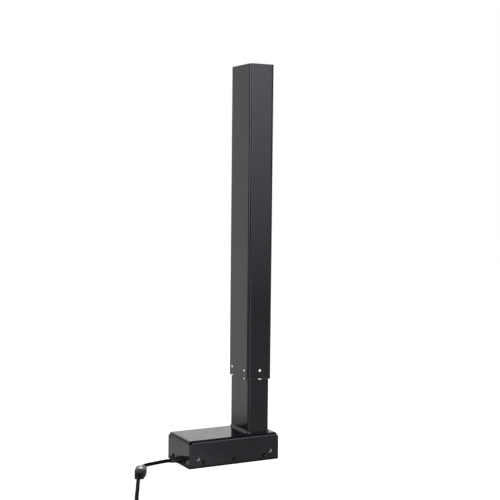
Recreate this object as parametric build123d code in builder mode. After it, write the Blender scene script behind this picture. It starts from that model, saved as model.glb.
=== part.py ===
from build123d import *
from math import acos, atan2, cos, degrees, pi, radians, sin, sqrt, tan
import os

os.makedirs("parts", exist_ok=True)

# Electric lift column of a height-adjustable desk, standing on its motor box.
# Millimetres. The origin is on the floor under the column's axis, +X points to the
# short end of the box, +Y to its back and +Z up along the column.

# Clearances
seat_gap = 0.05       # between a piece and the pocket that holds it
running_gap = 0.05    # around a journal that turns
slide_gap = 0.1       # between a glide pad and the tube that slides on it
loose_gap = 0.3       # between pieces that are only laid or fitted together
screw_gap = 0.2       # around a screw in its through hole
end_gap = 1           # past the end of a piece in its room

# Motor box: one sheet folded down on all four sides, open below
box_left = 150
box_right = 35
box_front = 52
box_back = 44
box_sheet = 3
box_bend = 6
corner_relief = 5
spindle_port = 12

# Bottom cover and its screws
cover_sheet = 1.5
cover_tab_width = 12
cover_tab_height = 15
cover_screw_height = 9.5
cover_screw_pitch = 62
cover_end_pitch = 51
cover_screw_radius = 2
cover_head_radius = 3.8
cover_head_height = 1.8

# Threaded nuts behind the side walls, for the rails of the frame
side_nut_pitch = 150
side_nut_height = 17
side_nut_bore = 2.5
side_nut_flats = 10
side_nut_length = 5
side_hole_radius = 3.2

# Tubes of the column
column_width = 50
column_depth = 80
outer_sheet = 1.5
outer_corner = 5.5
outer_length = 590
slide_space = 1.5
inner_sheet = 1.5
inner_corner = 4
inner_length = 585
weld_leg = 4.5
weld_length = 64
tack_radius = 2.6
closed_gap = 13.5
shown_lift = 88
stroke = 480

# Glide pads
pad_width = 14
pad_length = 40
pad_pitch = 50
pin_radius = 2.5
pin_height = 17
pin_proud = 0.3
lip_width = 7
lip_height = 2
collar_length = 42
collar_lip = 2

# End plate of the outer tube and the foot's bolt pattern
end_plate_thickness = 5
foot_pitch_x = 28
foot_pitch_y = 56
foot_hole_radius = 3.4
column_bolt_radius = 4
column_bolt_length = 18
column_head_radius = 7.5
column_head_height = 4.4

# Spindle, its nut and the tube that carries the nut
spindle_radius = 8
spindle_spare = 19.5
journal_radius = 6
journal_foot = 2
nut_length = 35
nut_flange = 5
nut_flange_radius = 17.5
nut_rest = 5
nut_tube_radius = 16
nut_tube_wall = 2
nut_pin_radius = 1.5
plug_length = 16
guide_length = 8
guide_screw_radius = 3
guide_head_height = 4
circlip_thickness = 1.2
circlip_depth = 0.8
circlip_radius = 8

# Worm drive
gear_module = 1
worm_starts = 2
worm_radius = 6
worm_length = 26
wheel_teeth = 30
wheel_face = 12
pressure_angle = 20
backlash = 0.2
key_width = 3
key_depth = 1.5
hub_wall = 3

# Gearbox housing
casting_gap = 1
casting_wall = 4.5
casting_corner = 3
motor_side_wall = 10
worm_room = 3
bearing_radius = 14
bearing_width = 8
bush_radius = 7
bush_length = 8
gearbox_screw_radius = 2.5
gearbox_screw_x = 16.5
gearbox_head_radius = 4.25
gearbox_head_height = 3
screw_wall = 2

# Motor
motor_radius = 21
motor_floor_gap = 2      # from the bottom cover to the motor
motor_headroom = 2       # from the motor to the box's ceiling
can_wall = 1.8
can_length = 72
front_plate_thickness = 3
pilot_radius = 10
end_cap_thickness = 5
end_boss_radius = 10
shaft_radius = 4
air_gap = 0.6
magnet_thickness = 3.5
magnet_length = 46
magnet_span = 110
magnet_middles = (45, 225)
core_length = 40
core_offset = 14
core_slots = 12
slot_width = 2.2
slot_depth = 5.5
winding_gap = 0.2
winding_inset = 1
end_turn_length = 7
end_turn_inner = 6.5
commutator_radius = 8
commutator_length = 8
segment_groove = 0.8
segment_gap = 0.5
brush_width = 5
brush_length = 6.5
brush_card_thickness = 1.5
brush_guide_wall = 1.5
brush_guide_end = 2
motor_bolt_radius = 1.5
motor_bolt_circle = 17.3
motor_bolt_head = 2.6
motor_bolt_depth = 8
sensor_magnet_radius = 8
sensor_magnet_length = 5
board_thickness = 1.6
board_width = 34
board_depth = 32
post_radius = 2
post_pitch = 28
post_length = 13
post_inset = 4
header_size = 9
header_length = 6
saddle_length = 30
saddle_width = 28

# Cable gland and the lead through it
gland_y = -11
gland_height = 9.2
neck_radius = 5
gland_nut_radius = 7
gland_nut_length = 6.5
gland_sleeve_radius = 4.8
gland_tip_radius = 4.2
gland_sleeve_length = 13.5
gland_straight = 6
locknut_length = 4
cord_radius = 3.3
sheath_inside = 9
wire_radius = 0.7
wire_spread = 2.4

# Connectors of the leads
connector_width = 20
connector_thickness = 12
connector_length = 25
connector_neck = 11
connector_edge = 1.5
shoulder_length = 6
latch_width = 7
latch_slot = 1
latch_length = 9
collar_band = 3
grip_step = 1
grip_rib = 2.2
grip_ribs = 5
plug_height = 16
plug_width = 12
plug_case_length = 28
plug_neck_length = 5
plug_neck_inset = 1.5
pin_pitch = 4.2
pin_pocket = 2.6
pin_pocket_depth = 8

# Coil of the spare length
coil_radius = 36
coil_turns = 4
coil_gap = 0.6
tie_thickness = 0.8
tie_width = 6
tie_gap = 0.6

# Places and sizes that follow from the values above
drive_height = cover_sheet + motor_floor_gap + motor_radius
box_ceiling = drive_height + motor_radius + motor_headroom
box_height = box_ceiling + box_sheet
saddle_depth = motor_headroom + motor_radius - sqrt(motor_radius ** 2 - (saddle_width / 2) ** 2)
box_length = box_left + box_right
box_width = box_front + box_back
box_mid_x = (box_right - box_left) / 2
box_mid_y = (box_back - box_front) / 2
inner_width = column_width - 2 * (outer_sheet + slide_space)
inner_depth = column_depth - 2 * (outer_sheet + slide_space)
outer_foot = box_height + closed_gap + shown_lift
outer_head = outer_foot + outer_length
inner_head = box_height + inner_length
pad_thickness = slide_space - slide_gap - seat_gap
plate_floor = outer_head - end_plate_thickness
nut_foot = box_height + nut_rest + shown_lift
nut_tube_bore = nut_tube_radius - nut_tube_wall
nut_tube_foot = nut_foot + nut_flange
spindle_top = box_height + nut_rest + stroke + nut_length + spindle_spare

wheel_radius = gear_module * wheel_teeth / 2
wheel_tip = wheel_radius + gear_module
wheel_root = wheel_radius - 1.25 * gear_module
worm_crest = worm_radius + gear_module
worm_root = worm_radius - 1.25 * gear_module
worm_lead = pi * gear_module * worm_starts
lead_slope = worm_lead / (2 * pi * worm_radius)
worm_y = -(wheel_radius + worm_radius)

wheel_room = wheel_tip + casting_gap
wheel_low = drive_height - wheel_face / 2 - casting_gap
wheel_high = drive_height + wheel_face / 2 + casting_gap
lower_bearing_low = wheel_low - bearing_width
upper_bearing_high = wheel_high + bearing_width
circlip_low = lower_bearing_low - circlip_thickness
journal_low = circlip_low - journal_foot / 2
housing_low = journal_low - journal_foot
worm_half_room = worm_length / 2 + worm_room
housing_left = -(worm_half_room + motor_side_wall)
housing_right = worm_half_room + bush_length + casting_wall
gearbox_hole = gearbox_screw_radius + screw_gap
screw_front_y = worm_y - worm_crest - casting_gap - gearbox_hole - screw_wall
screw_back_y = sqrt((wheel_room + gearbox_hole + screw_wall) ** 2 - gearbox_screw_x ** 2)
housing_front = screw_front_y - gearbox_hole - screw_wall
housing_back = max(screw_back_y + gearbox_hole + screw_wall, wheel_room + casting_wall)

can_front = housing_left - front_plate_thickness
can_rear = can_front - can_length
can_bore = motor_radius - can_wall
cap_rear = can_rear - end_cap_thickness
boss_rear = can_rear - bush_length
magnet_outer = can_bore - seat_gap
magnet_inner = magnet_outer - magnet_thickness
core_radius = magnet_inner - air_gap
core_front = can_front - core_offset
core_rear = core_front - core_length
commutator_front = core_rear - end_turn_length - end_gap
board_front = cap_rear - post_length
shaft_rear = boss_rear - end_gap - sensor_magnet_length

gland_face = -box_left - gland_nut_length - gland_sleeve_length
sheath_end = -box_left + box_sheet + sheath_inside


# Motor box

def drill_front_to_back(spots, radius):
    """Bore everything from the front wall to the back wall, at spots given as x and height."""
    with BuildSketch(Plane.XZ.offset(box_front)) as bores:
        with Locations(*spots):
            Circle(radius)
    extrude(bores.sketch, amount=-box_width, mode=Mode.SUBTRACT)


def drill_end_to_end(spots, radius):
    """Bore everything from the left end wall to the right one, at spots given as y and height."""
    with BuildSketch(Plane.YZ.offset(-box_left)) as bores:
        with Locations(*spots):
            Circle(radius)
    extrude(bores.sketch, amount=box_length, mode=Mode.SUBTRACT)


cover_screw_xs = [box_mid_x + step * cover_screw_pitch for step in (-1, 0, 1)]
cover_screw_ys = [box_mid_y + step * cover_end_pitch / 2 for step in (-1, 1)]
side_nut_xs = [box_mid_x + step * side_nut_pitch / 2 for step in (-1, 1)]
side_screw_spots = [(x, cover_screw_height) for x in cover_screw_xs]
end_screw_spots = [(y, cover_screw_height) for y in cover_screw_ys]
side_nut_spots = [(x, side_nut_height) for x in side_nut_xs]
gearbox_screw_spots = [
    (side * gearbox_screw_x, y) for side in (-1, 1) for y in (screw_front_y, screw_back_y)
]

with BuildPart() as box_shell:
    with BuildSketch(Plane.XY):
        with Locations((box_mid_x, box_mid_y)):
            Rectangle(box_length, box_width)
    extrude(amount=box_height)
    fillet(box_shell.faces().sort_by(Axis.Z)[-1].edges(), radius=box_bend)
    with BuildSketch(Plane.XY):
        with Locations((box_mid_x, box_mid_y)):
            Rectangle(box_length - 2 * box_sheet, box_width - 2 * box_sheet)
    extrude(amount=box_ceiling, mode=Mode.SUBTRACT)
    ceiling = box_shell.faces().filter_by(Axis.Z).sort_by(Axis.Z)[-2]
    fillet(ceiling.edges(), radius=box_bend - box_sheet)
    with BuildSketch(Plane.XY.offset(box_height)):
        with Locations((box_mid_x, box_mid_y)):
            with GridLocations(box_length, box_width, 2, 2):
                Rectangle(2 * corner_relief, 2 * corner_relief)
    extrude(amount=-box_bend, mode=Mode.SUBTRACT)
    with BuildSketch(Plane.XY.offset(box_height)):
        Circle(spindle_port)
        with Locations(*gearbox_screw_spots):
            Circle(gearbox_screw_radius + seat_gap)
    extrude(amount=-box_sheet, mode=Mode.SUBTRACT)
    drill_front_to_back(side_screw_spots, cover_screw_radius + loose_gap)
    drill_front_to_back(side_nut_spots, side_hole_radius)
    drill_end_to_end(end_screw_spots, cover_screw_radius + loose_gap)
    with BuildSketch(Plane.YZ.offset(-box_left)):
        with Locations((gland_y, gland_height)):
            Circle(neck_radius + seat_gap)
    extrude(amount=box_sheet, mode=Mode.SUBTRACT)
box_shell.part.label = "box_shell"
export_step(box_shell.part, "parts/box_shell.step")

# Bottom cover: a plate inside the rim, with a threaded tab behind every cover screw
cover_inset = box_sheet + loose_gap
with BuildPart() as bottom_cover:
    with BuildSketch(Plane.XY):
        with Locations((box_mid_x, box_mid_y)):
            Rectangle(box_length - 2 * cover_inset, box_width - 2 * cover_inset)
    extrude(amount=cover_sheet)
    with Locations(*[(x, -box_front + cover_inset, 0) for x in cover_screw_xs]):
        Box(cover_tab_width, cover_sheet, cover_tab_height, align=(Align.CENTER, Align.MIN, Align.MIN))
    with Locations(*[(x, box_back - cover_inset, 0) for x in cover_screw_xs]):
        Box(cover_tab_width, cover_sheet, cover_tab_height, align=(Align.CENTER, Align.MAX, Align.MIN))
    with Locations(*[(-box_left + cover_inset, y, 0) for y in cover_screw_ys]):
        Box(cover_sheet, cover_tab_width, cover_tab_height, align=(Align.MIN, Align.CENTER, Align.MIN))
    with Locations(*[(box_right - cover_inset, y, 0) for y in cover_screw_ys]):
        Box(cover_sheet, cover_tab_width, cover_tab_height, align=(Align.MAX, Align.CENTER, Align.MIN))
    drill_front_to_back(side_screw_spots, cover_screw_radius + seat_gap)
    drill_end_to_end(end_screw_spots, cover_screw_radius + seat_gap)
bottom_cover.part.label = "bottom_cover"
export_step(bottom_cover.part, "parts/bottom_cover.step")


def socket_screw(seat, head_radius, head_height, shank_radius, shank_length, taper=0):
    """A screw with a hexagon socket: its head stands on the seat plane, its shank hangs behind."""
    with BuildSketch(seat) as head:
        Circle(head_radius)
    extrude(head.sketch, amount=head_height, taper=taper)
    with BuildSketch(seat) as shank:
        Circle(shank_radius)
    extrude(shank.sketch, amount=-shank_length)
    with BuildSketch(seat.offset(head_height)) as socket:
        RegularPolygon(radius=head_radius * 0.5, side_count=6)
    extrude(socket.sketch, amount=-head_height * 0.6, mode=Mode.SUBTRACT)


cover_shank = cover_inset + cover_sheet + loose_gap
with BuildPart() as cover_screws:
    for x in cover_screw_xs:
        for y, facing in ((-box_front, -1), (box_back, 1)):
            seat = Plane(origin=(x, y, cover_screw_height), x_dir=(1, 0, 0), z_dir=(0, facing, 0))
            socket_screw(seat, cover_head_radius, cover_head_height, cover_screw_radius, cover_shank, 18)
    for y in cover_screw_ys:
        for x, facing in ((-box_left, -1), (box_right, 1)):
            seat = Plane(origin=(x, y, cover_screw_height), x_dir=(0, 1, 0), z_dir=(facing, 0, 0))
            socket_screw(seat, cover_head_radius, cover_head_height, cover_screw_radius, cover_shank, 18)
cover_screws.part.label = "cover_screws"
export_step(cover_screws.part, "parts/cover_screws.step")

with BuildPart() as side_nuts:
    for x in side_nut_xs:
        for y, facing in ((-box_front + box_sheet, 1), (box_back - box_sheet, -1)):
            seat = Plane(origin=(x, y, side_nut_height), x_dir=(1, 0, 0), z_dir=(0, facing, 0))
            with BuildSketch(seat):
                RegularPolygon(radius=side_nut_flats / 2, side_count=6, major_radius=False)
                Circle(side_nut_bore, mode=Mode.SUBTRACT)
            extrude(amount=side_nut_length)
side_nuts.part.label = "side_nuts"
export_step(side_nuts.part, "parts/side_nuts.step")


# Column tubes

def tube_profile(width, depth, corner, sheet):
    """Section of a rectangular tube with rounded corners."""
    RectangleRounded(width, depth, corner)
    RectangleRounded(width - 2 * sheet, depth - 2 * sheet, corner - sheet, mode=Mode.SUBTRACT)


with BuildPart() as inner_tube:
    with BuildSketch(Plane.XY.offset(box_height)):
        tube_profile(inner_width, inner_depth, inner_corner, inner_sheet)
    extrude(amount=inner_length)
inner_tube.part.label = "inner_tube"
export_step(inner_tube.part, "parts/inner_tube.step")

# Fillet welds along the tube's long faces, and a tack at each end of its short faces
with BuildPart() as tube_welds:
    with BuildSketch(Plane.XZ.offset(-weld_length / 2)):
        with BuildLine():
            corner = (inner_width / 2, box_height)
            toe = (inner_width / 2 + weld_leg, box_height)
            crown = (inner_width / 2 + weld_leg * 0.6, box_height + weld_leg * 0.6)
            heel = (inner_width / 2, box_height + weld_leg)
            Line(corner, toe)
            ThreePointArc(toe, crown, heel)
            Line(heel, corner)
        make_face()
    extrude(amount=weld_length)
    mirror(about=Plane.YZ)
    with Locations((0, 0, box_height)):
        with GridLocations(inner_width - 2 * inner_corner, inner_depth, 2, 2):
            Sphere(tack_radius)
    with BuildSketch(Plane.XY.offset(box_height)):
        RectangleRounded(inner_width, inner_depth, inner_corner)
    extrude(amount=2 * weld_leg, mode=Mode.SUBTRACT)
    with BuildSketch(Plane.XY.offset(box_height)):
        Rectangle(column_width, column_depth + 4 * tack_radius)
    extrude(amount=-2 * tack_radius, mode=Mode.SUBTRACT)
tube_welds.part.label = "tube_welds"
export_step(tube_welds.part, "parts/tube_welds.step")

# Glide pads at the outer tube's foot: (pad centre x, y, outward angle in degrees)
half_width = column_width / 2
half_depth = column_depth / 2
pad_ys = (-pad_pitch / 2, pad_pitch / 2)
pad_places = [(side * half_width, y, 90 - 90 * side) for side in (-1, 1) for y in pad_ys]
pad_places += [(0, side * half_depth, 90 * side) for side in (-1, 1)]


def pad_plane(x, y, angle, height):
    """Upright plane on the outer tube's face at a pad, looking outwards, with its x level."""
    way = Vector(1, 0, 0).rotate(Axis.Z, angle)
    return Plane(origin=(x, y, height), x_dir=way.rotate(Axis.Z, 90), z_dir=way)


with BuildPart() as outer_tube:
    with BuildSketch(Plane.XY.offset(outer_foot)):
        tube_profile(column_width, column_depth, outer_corner, outer_sheet)
    extrude(amount=outer_length)
    for place in pad_places:
        with BuildSketch(pad_plane(*place, outer_foot)):
            with Locations((0, pin_height)):
                Circle(pin_radius + seat_gap)
            Rectangle(lip_width + 2 * seat_gap, 2 * (lip_height + seat_gap))
        extrude(amount=-outer_sheet, mode=Mode.SUBTRACT)
outer_tube.part.label = "outer_tube"
export_step(outer_tube.part, "parts/outer_tube.step")

with BuildPart() as lower_glides:
    for place in pad_places:
        with BuildSketch(pad_plane(*place, outer_foot).offset(-outer_sheet - seat_gap)):
            with Locations((0, pad_length / 2)):
                Rectangle(pad_width, pad_length)
        extrude(amount=-pad_thickness)
        with BuildSketch(pad_plane(*place, outer_foot).offset(-outer_sheet - seat_gap)):
            with Locations((0, pin_height)):
                Circle(pin_radius)
        extrude(amount=outer_sheet + seat_gap + pin_proud)
        with BuildSketch(pad_plane(*place, outer_foot).offset(-outer_sheet - seat_gap)):
            with Locations((0, lip_height / 2)):
                Rectangle(lip_width, lip_height)
        extrude(amount=outer_sheet + seat_gap)
lower_glides.part.label = "lower_glides"
export_step(lower_glides.part, "parts/lower_glides.step")

# Glide collar: a sleeve over the inner tube's head that runs inside the outer tube
with BuildPart() as upper_glide_collar:
    bore_width = column_width - 2 * outer_sheet
    bore_depth = column_depth - 2 * outer_sheet
    with BuildSketch(Plane.XY.offset(inner_head - collar_length + collar_lip)):
        RectangleRounded(bore_width - 2 * slide_gap, bore_depth - 2 * slide_gap, outer_corner - outer_sheet)
    extrude(amount=collar_length)
    with BuildSketch(Plane.XY.offset(inner_head - collar_length + collar_lip)):
        RectangleRounded(inner_width + 2 * seat_gap, inner_depth + 2 * seat_gap, inner_corner)
    extrude(amount=collar_length - collar_lip, mode=Mode.SUBTRACT)
    with BuildSketch(Plane.XY.offset(inner_head)):
        RectangleRounded(
            inner_width - 2 * inner_sheet, inner_depth - 2 * inner_sheet, inner_corner - inner_sheet
        )
    extrude(amount=collar_lip, mode=Mode.SUBTRACT)
upper_glide_collar.part.label = "upper_glide_collar"
export_step(upper_glide_collar.part, "parts/upper_glide_collar.step")

# End plate, welded into the outer tube's head and threaded for the foot's bolts
with BuildPart() as end_plate:
    with BuildSketch(Plane.XY.offset(plate_floor)):
        RectangleRounded(
            bore_width - 2 * seat_gap, bore_depth - 2 * seat_gap, outer_corner - outer_sheet - seat_gap
        )
        with GridLocations(foot_pitch_x, foot_pitch_y, 2, 2):
            Circle(foot_hole_radius, mode=Mode.SUBTRACT)
        Circle(column_bolt_radius + loose_gap, mode=Mode.SUBTRACT)
    extrude(amount=end_plate_thickness)
    with BuildSketch(Plane.XY.offset(outer_head)):
        Circle(column_head_radius + loose_gap)
    extrude(amount=-column_head_height, taper=40, mode=Mode.SUBTRACT)
end_plate.part.label = "end_plate"
export_step(end_plate.part, "parts/end_plate.step")

with BuildPart() as column_bolt:
    with BuildSketch(Plane.XY.offset(outer_head)):
        Circle(column_head_radius)
    extrude(amount=-column_head_height, taper=40)
    with BuildSketch(Plane.XY.offset(outer_head)):
        Circle(column_bolt_radius)
    extrude(amount=-column_bolt_length)
    with BuildSketch(Plane.XY.offset(outer_head)):
        RegularPolygon(radius=column_bolt_radius * 0.7, side_count=6)
    extrude(amount=-column_head_height / 2, mode=Mode.SUBTRACT)
column_bolt.part.label = "column_bolt"
export_step(column_bolt.part, "parts/column_bolt.step")


# Lifting screw

with BuildPart() as nut_tube:
    with BuildSketch(Plane.XY.offset(nut_tube_foot)):
        Circle(nut_tube_radius)
        Circle(nut_tube_bore, mode=Mode.SUBTRACT)
    extrude(amount=plate_floor - nut_tube_foot)
    with BuildSketch(Plane.YZ.offset(-nut_tube_radius)):
        with Locations((0, nut_foot + (nut_flange + nut_length) / 2)):
            Circle(nut_pin_radius + seat_gap)
    extrude(amount=2 * nut_tube_radius, mode=Mode.SUBTRACT)
nut_tube.part.label = "nut_tube"
export_step(nut_tube.part, "parts/nut_tube.step")

with BuildPart() as nut_tube_plug:
    with BuildSketch(Plane.XY.offset(plate_floor)):
        Circle(nut_tube_bore - seat_gap)
        Circle(column_bolt_radius + seat_gap, mode=Mode.SUBTRACT)
    extrude(amount=-plug_length)
nut_tube_plug.part.label = "nut_tube_plug"
export_step(nut_tube_plug.part, "parts/nut_tube_plug.step")

# The spindle's thread is drawn as a plain rod of its outer diameter
with BuildPart() as spindle_nut:
    with BuildSketch(Plane.XY.offset(nut_foot)):
        Circle(nut_flange_radius)
    extrude(amount=nut_flange)
    with BuildSketch(Plane.XY.offset(nut_foot)):
        Circle(nut_tube_bore - seat_gap)
    extrude(amount=nut_length)
    with BuildSketch(Plane.XY.offset(nut_foot)):
        Circle(spindle_radius + running_gap)
    extrude(amount=nut_length, mode=Mode.SUBTRACT)
    with BuildSketch(Plane.YZ.offset(-nut_tube_radius)):
        with Locations((0, nut_foot + (nut_flange + nut_length) / 2)):
            Circle(nut_pin_radius + seat_gap)
    extrude(amount=2 * nut_tube_radius, mode=Mode.SUBTRACT)
spindle_nut.part.label = "spindle_nut"
export_step(spindle_nut.part, "parts/spindle_nut.step")

with BuildPart() as nut_pins:
    pin_reach = nut_tube_radius - spindle_radius - 2 * loose_gap
    for side in (-1, 1):
        with BuildSketch(Plane.YZ.offset(side * nut_tube_radius)):
            with Locations((0, nut_foot + (nut_flange + nut_length) / 2)):
                Circle(nut_pin_radius)
        extrude(amount=-side * pin_reach)
nut_pins.part.label = "nut_pins"
export_step(nut_pins.part, "parts/nut_pins.step")

with BuildPart() as spindle:
    with BuildSketch(Plane.XY.offset(journal_low)):
        Circle(journal_radius)
    extrude(amount=upper_bearing_high - journal_low)
    with BuildSketch(Plane.XY.offset(upper_bearing_high)):
        Circle(spindle_radius)
    extrude(amount=spindle_top - upper_bearing_high)
    with BuildSketch(Plane.XY.offset(circlip_low)):
        Circle(journal_radius)
        Circle(journal_radius - circlip_depth, mode=Mode.SUBTRACT)
    extrude(amount=circlip_thickness, mode=Mode.SUBTRACT)
    with BuildSketch(Plane.XY.offset(drive_height - wheel_face / 2)):
        with Locations((0, journal_radius)):
            Rectangle(key_width + 2 * seat_gap, 2 * key_depth)
    extrude(amount=wheel_face, mode=Mode.SUBTRACT)
    with BuildSketch(Plane.XY.offset(spindle_top)):
        Circle(guide_screw_radius + seat_gap)
    extrude(amount=-3 * guide_length, mode=Mode.SUBTRACT)
spindle.part.label = "spindle"
export_step(spindle.part, "parts/spindle.step")

with BuildPart() as spindle_guide:
    with BuildSketch(Plane.XY.offset(spindle_top)):
        Circle(nut_tube_bore - 2 * slide_gap)
        Circle(guide_screw_radius + seat_gap, mode=Mode.SUBTRACT)
    extrude(amount=guide_length)
spindle_guide.part.label = "spindle_guide"
export_step(spindle_guide.part, "parts/spindle_guide.step")

with BuildPart() as guide_screw:
    guide_shank = guide_length + 2 * guide_length
    seat = Plane.XY.offset(spindle_top + guide_length)
    socket_screw(seat, 1.7 * guide_screw_radius, guide_head_height, guide_screw_radius, guide_shank)
guide_screw.part.label = "guide_screw"
export_step(guide_screw.part, "parts/guide_screw.step")

with BuildPart() as spindle_circlip:
    with BuildSketch(Plane.XY.offset(circlip_low)):
        Circle(circlip_radius)
        Circle(journal_radius - circlip_depth + seat_gap, mode=Mode.SUBTRACT)
        with Locations((0, -circlip_radius)):
            Rectangle(journal_radius, 2 * circlip_radius, mode=Mode.SUBTRACT)
    extrude(amount=circlip_thickness)
spindle_circlip.part.label = "spindle_circlip"
export_step(spindle_circlip.part, "parts/spindle_circlip.step")


def ball_bearing(name, middle, bore, outside, width):
    """Write the two rings and the balls of a bearing that lies about the given middle plane."""
    pitch = (bore + outside) / 2
    ball = 0.3 * (outside - bore)
    land = 0.175 * (outside - bore)
    balls = int(2 * pi * pitch / (2.6 * ball))

    with BuildPart(middle) as inner_ring:
        Cylinder(pitch - land, width)
        Cylinder(bore, width, mode=Mode.SUBTRACT)
        Torus(pitch, ball + running_gap, mode=Mode.SUBTRACT)
    inner_ring.part.label = f"{name}_inner_ring"
    export_step(inner_ring.part, f"parts/{name}_inner_ring.step")

    with BuildPart(middle) as outer_ring:
        Cylinder(outside, width)
        Cylinder(pitch + land, width, mode=Mode.SUBTRACT)
        Torus(pitch, ball + running_gap, mode=Mode.SUBTRACT)
    outer_ring.part.label = f"{name}_outer_ring"
    export_step(outer_ring.part, f"parts/{name}_outer_ring.step")

    with BuildPart(middle) as ball_set:
        with PolarLocations(pitch, balls):
            Sphere(ball)
    ball_set.part.label = f"{name}_balls"
    export_step(ball_set.part, f"parts/{name}_balls.step")


for name, low in (("lower_bearing", lower_bearing_low), ("upper_bearing", wheel_high)):
    middle = Plane.XY.offset(low + bearing_width / 2)
    ball_bearing(name, middle, journal_radius + seat_gap, bearing_radius, bearing_width)


# Worm wheel: involute teeth that lean with the worm's lead, a gap facing the worm

def involute(angle):
    """Involute function of an angle in radians."""
    return tan(angle) - angle


def tooth_half_angle(radius):
    """Half of the angle that a wheel tooth spans at a radius, in radians."""
    base = wheel_radius * cos(radians(pressure_angle))
    pressure = acos(min(1, base / radius))
    half_pitch = pi / (2 * wheel_teeth) - backlash / (2 * wheel_radius)
    return half_pitch + involute(radians(pressure_angle)) - involute(pressure)


def wheel_outline(height):
    """Sketch of the toothed outline at a height from the wheel's middle."""
    lean = height * lead_slope / wheel_radius
    points = []
    for tooth in range(wheel_teeth):
        middle = -pi / 2 + (tooth + 0.5) * 2 * pi / wheel_teeth + lean
        rising = [(radius, -tooth_half_angle(radius)) for radius in (wheel_root, wheel_radius, wheel_tip)]
        falling = [(radius, -half_angle) for radius, half_angle in reversed(rising)]
        for radius, turn in rising + falling:
            points.append((radius * cos(middle + turn), radius * sin(middle + turn)))
    with BuildSketch(Plane.XY.offset(drive_height + height)) as outline:
        with BuildLine():
            Polyline(*points, close=True)
        make_face()
    return outline


with BuildPart() as worm_wheel:
    for height in (-wheel_face / 2, 0, wheel_face / 2):
        add(wheel_outline(height).sketch)
    loft(ruled=True)
    with BuildSketch(Plane.XY.offset(wheel_low)):
        Circle(journal_radius + hub_wall)
    extrude(amount=wheel_high - wheel_low)
    with BuildSketch(Plane.XY.offset(wheel_low)):
        Circle(journal_radius + seat_gap)
    extrude(amount=wheel_high - wheel_low, mode=Mode.SUBTRACT)
    with BuildSketch(Plane.XY.offset(wheel_low)):
        with Locations((0, journal_radius)):
            Rectangle(key_width + 2 * seat_gap, 2 * (key_depth + seat_gap))
    extrude(amount=wheel_high - wheel_low, mode=Mode.SUBTRACT)
worm_wheel.part.label = "worm_wheel"
export_step(worm_wheel.part, "parts/worm_wheel.step")

# Worm shaft: the thread's section is swept along the axis and turned by a helix

def worm_section(station):
    """Sketch of the worm's section at an x, a thread crest facing the wheel at x = 0."""
    face = Plane(origin=(station, worm_y, drive_height), x_dir=(0, 1, 0), z_dir=(1, 0, 0))
    start_angle = 360 * station / worm_lead
    flank = gear_module * tan(radians(pressure_angle))
    half_pitch = pi * gear_module / 4 - backlash / 2
    with BuildSketch(face) as section:
        with BuildLine():
            for start in range(worm_starts):
                middle = start_angle + start * 360 / worm_starts
                sides = []
                for way in (-1, 1):
                    rim = []
                    for step in range(5):
                        radius = worm_crest - (worm_crest - worm_root) * step / 4
                        half_width = half_pitch + (worm_radius - radius) / gear_module * flank
                        angle = radians(middle + way * 360 * half_width / worm_lead)
                        rim.append((radius * cos(angle), radius * sin(angle)))
                    Spline(*rim)
                    sides.append(rim)
                crest_angle = radians(middle)
                crest = (worm_crest * cos(crest_angle), worm_crest * sin(crest_angle))
                ThreePointArc(sides[0][0], crest, sides[1][0])
                root_angle = radians(middle + 180 / worm_starts)
                root = (worm_root * cos(root_angle), worm_root * sin(root_angle))
                next_angle = atan2(sides[0][-1][1], sides[0][-1][0]) + 2 * pi / worm_starts
                next_root = (worm_root * cos(next_angle), worm_root * sin(next_angle))
                ThreePointArc(sides[1][-1], root, next_root)
        make_face()
    return section


shaft_right = worm_half_room + bush_length + end_gap
with BuildPart() as worm_shaft:
    with BuildLine():
        Line((-worm_length / 2, worm_y, drive_height), (worm_length / 2, worm_y, drive_height))
    thread_guide = Helix(
        pitch=worm_lead,
        height=worm_length,
        radius=worm_crest,
        center=(-worm_length / 2, worm_y, drive_height),
        direction=(1, 0, 0),
        mode=Mode.PRIVATE,
    )
    sweep(worm_section(-worm_length / 2).sketch, binormal=thread_guide.edges()[0])
    with BuildSketch(Plane.YZ.offset(shaft_rear)):
        with Locations((worm_y, drive_height)):
            Circle(shaft_radius)
    extrude(amount=shaft_right - shaft_rear)
worm_shaft.part.label = "worm_shaft"
export_step(worm_shaft.part, "parts/worm_shaft.step")


# Gearbox: two castings split at the height of the worm's axis

def bore_up(radius, low, high, x=0, y=0):
    """Cut an upright round pocket between two heights."""
    with BuildSketch(Plane.XY.offset(low)) as pocket:
        with Locations((x, y)):
            Circle(radius)
    extrude(pocket.sketch, amount=high - low, mode=Mode.SUBTRACT)


def bore_along(radius, left, right, y=worm_y, height=drive_height):
    """Cut a round pocket along X, by default about the worm's axis."""
    with BuildSketch(Plane.YZ.offset(left)) as pocket:
        with Locations((y, height)):
            Circle(radius)
    extrude(pocket.sketch, amount=right - left, mode=Mode.SUBTRACT)


motor_bolt_reach = motor_bolt_circle * sqrt(0.5)
motor_bolt_spots = [
    (worm_y + side * motor_bolt_reach, drive_height - side * motor_bolt_reach) for side in (-1, 1)
]


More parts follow.
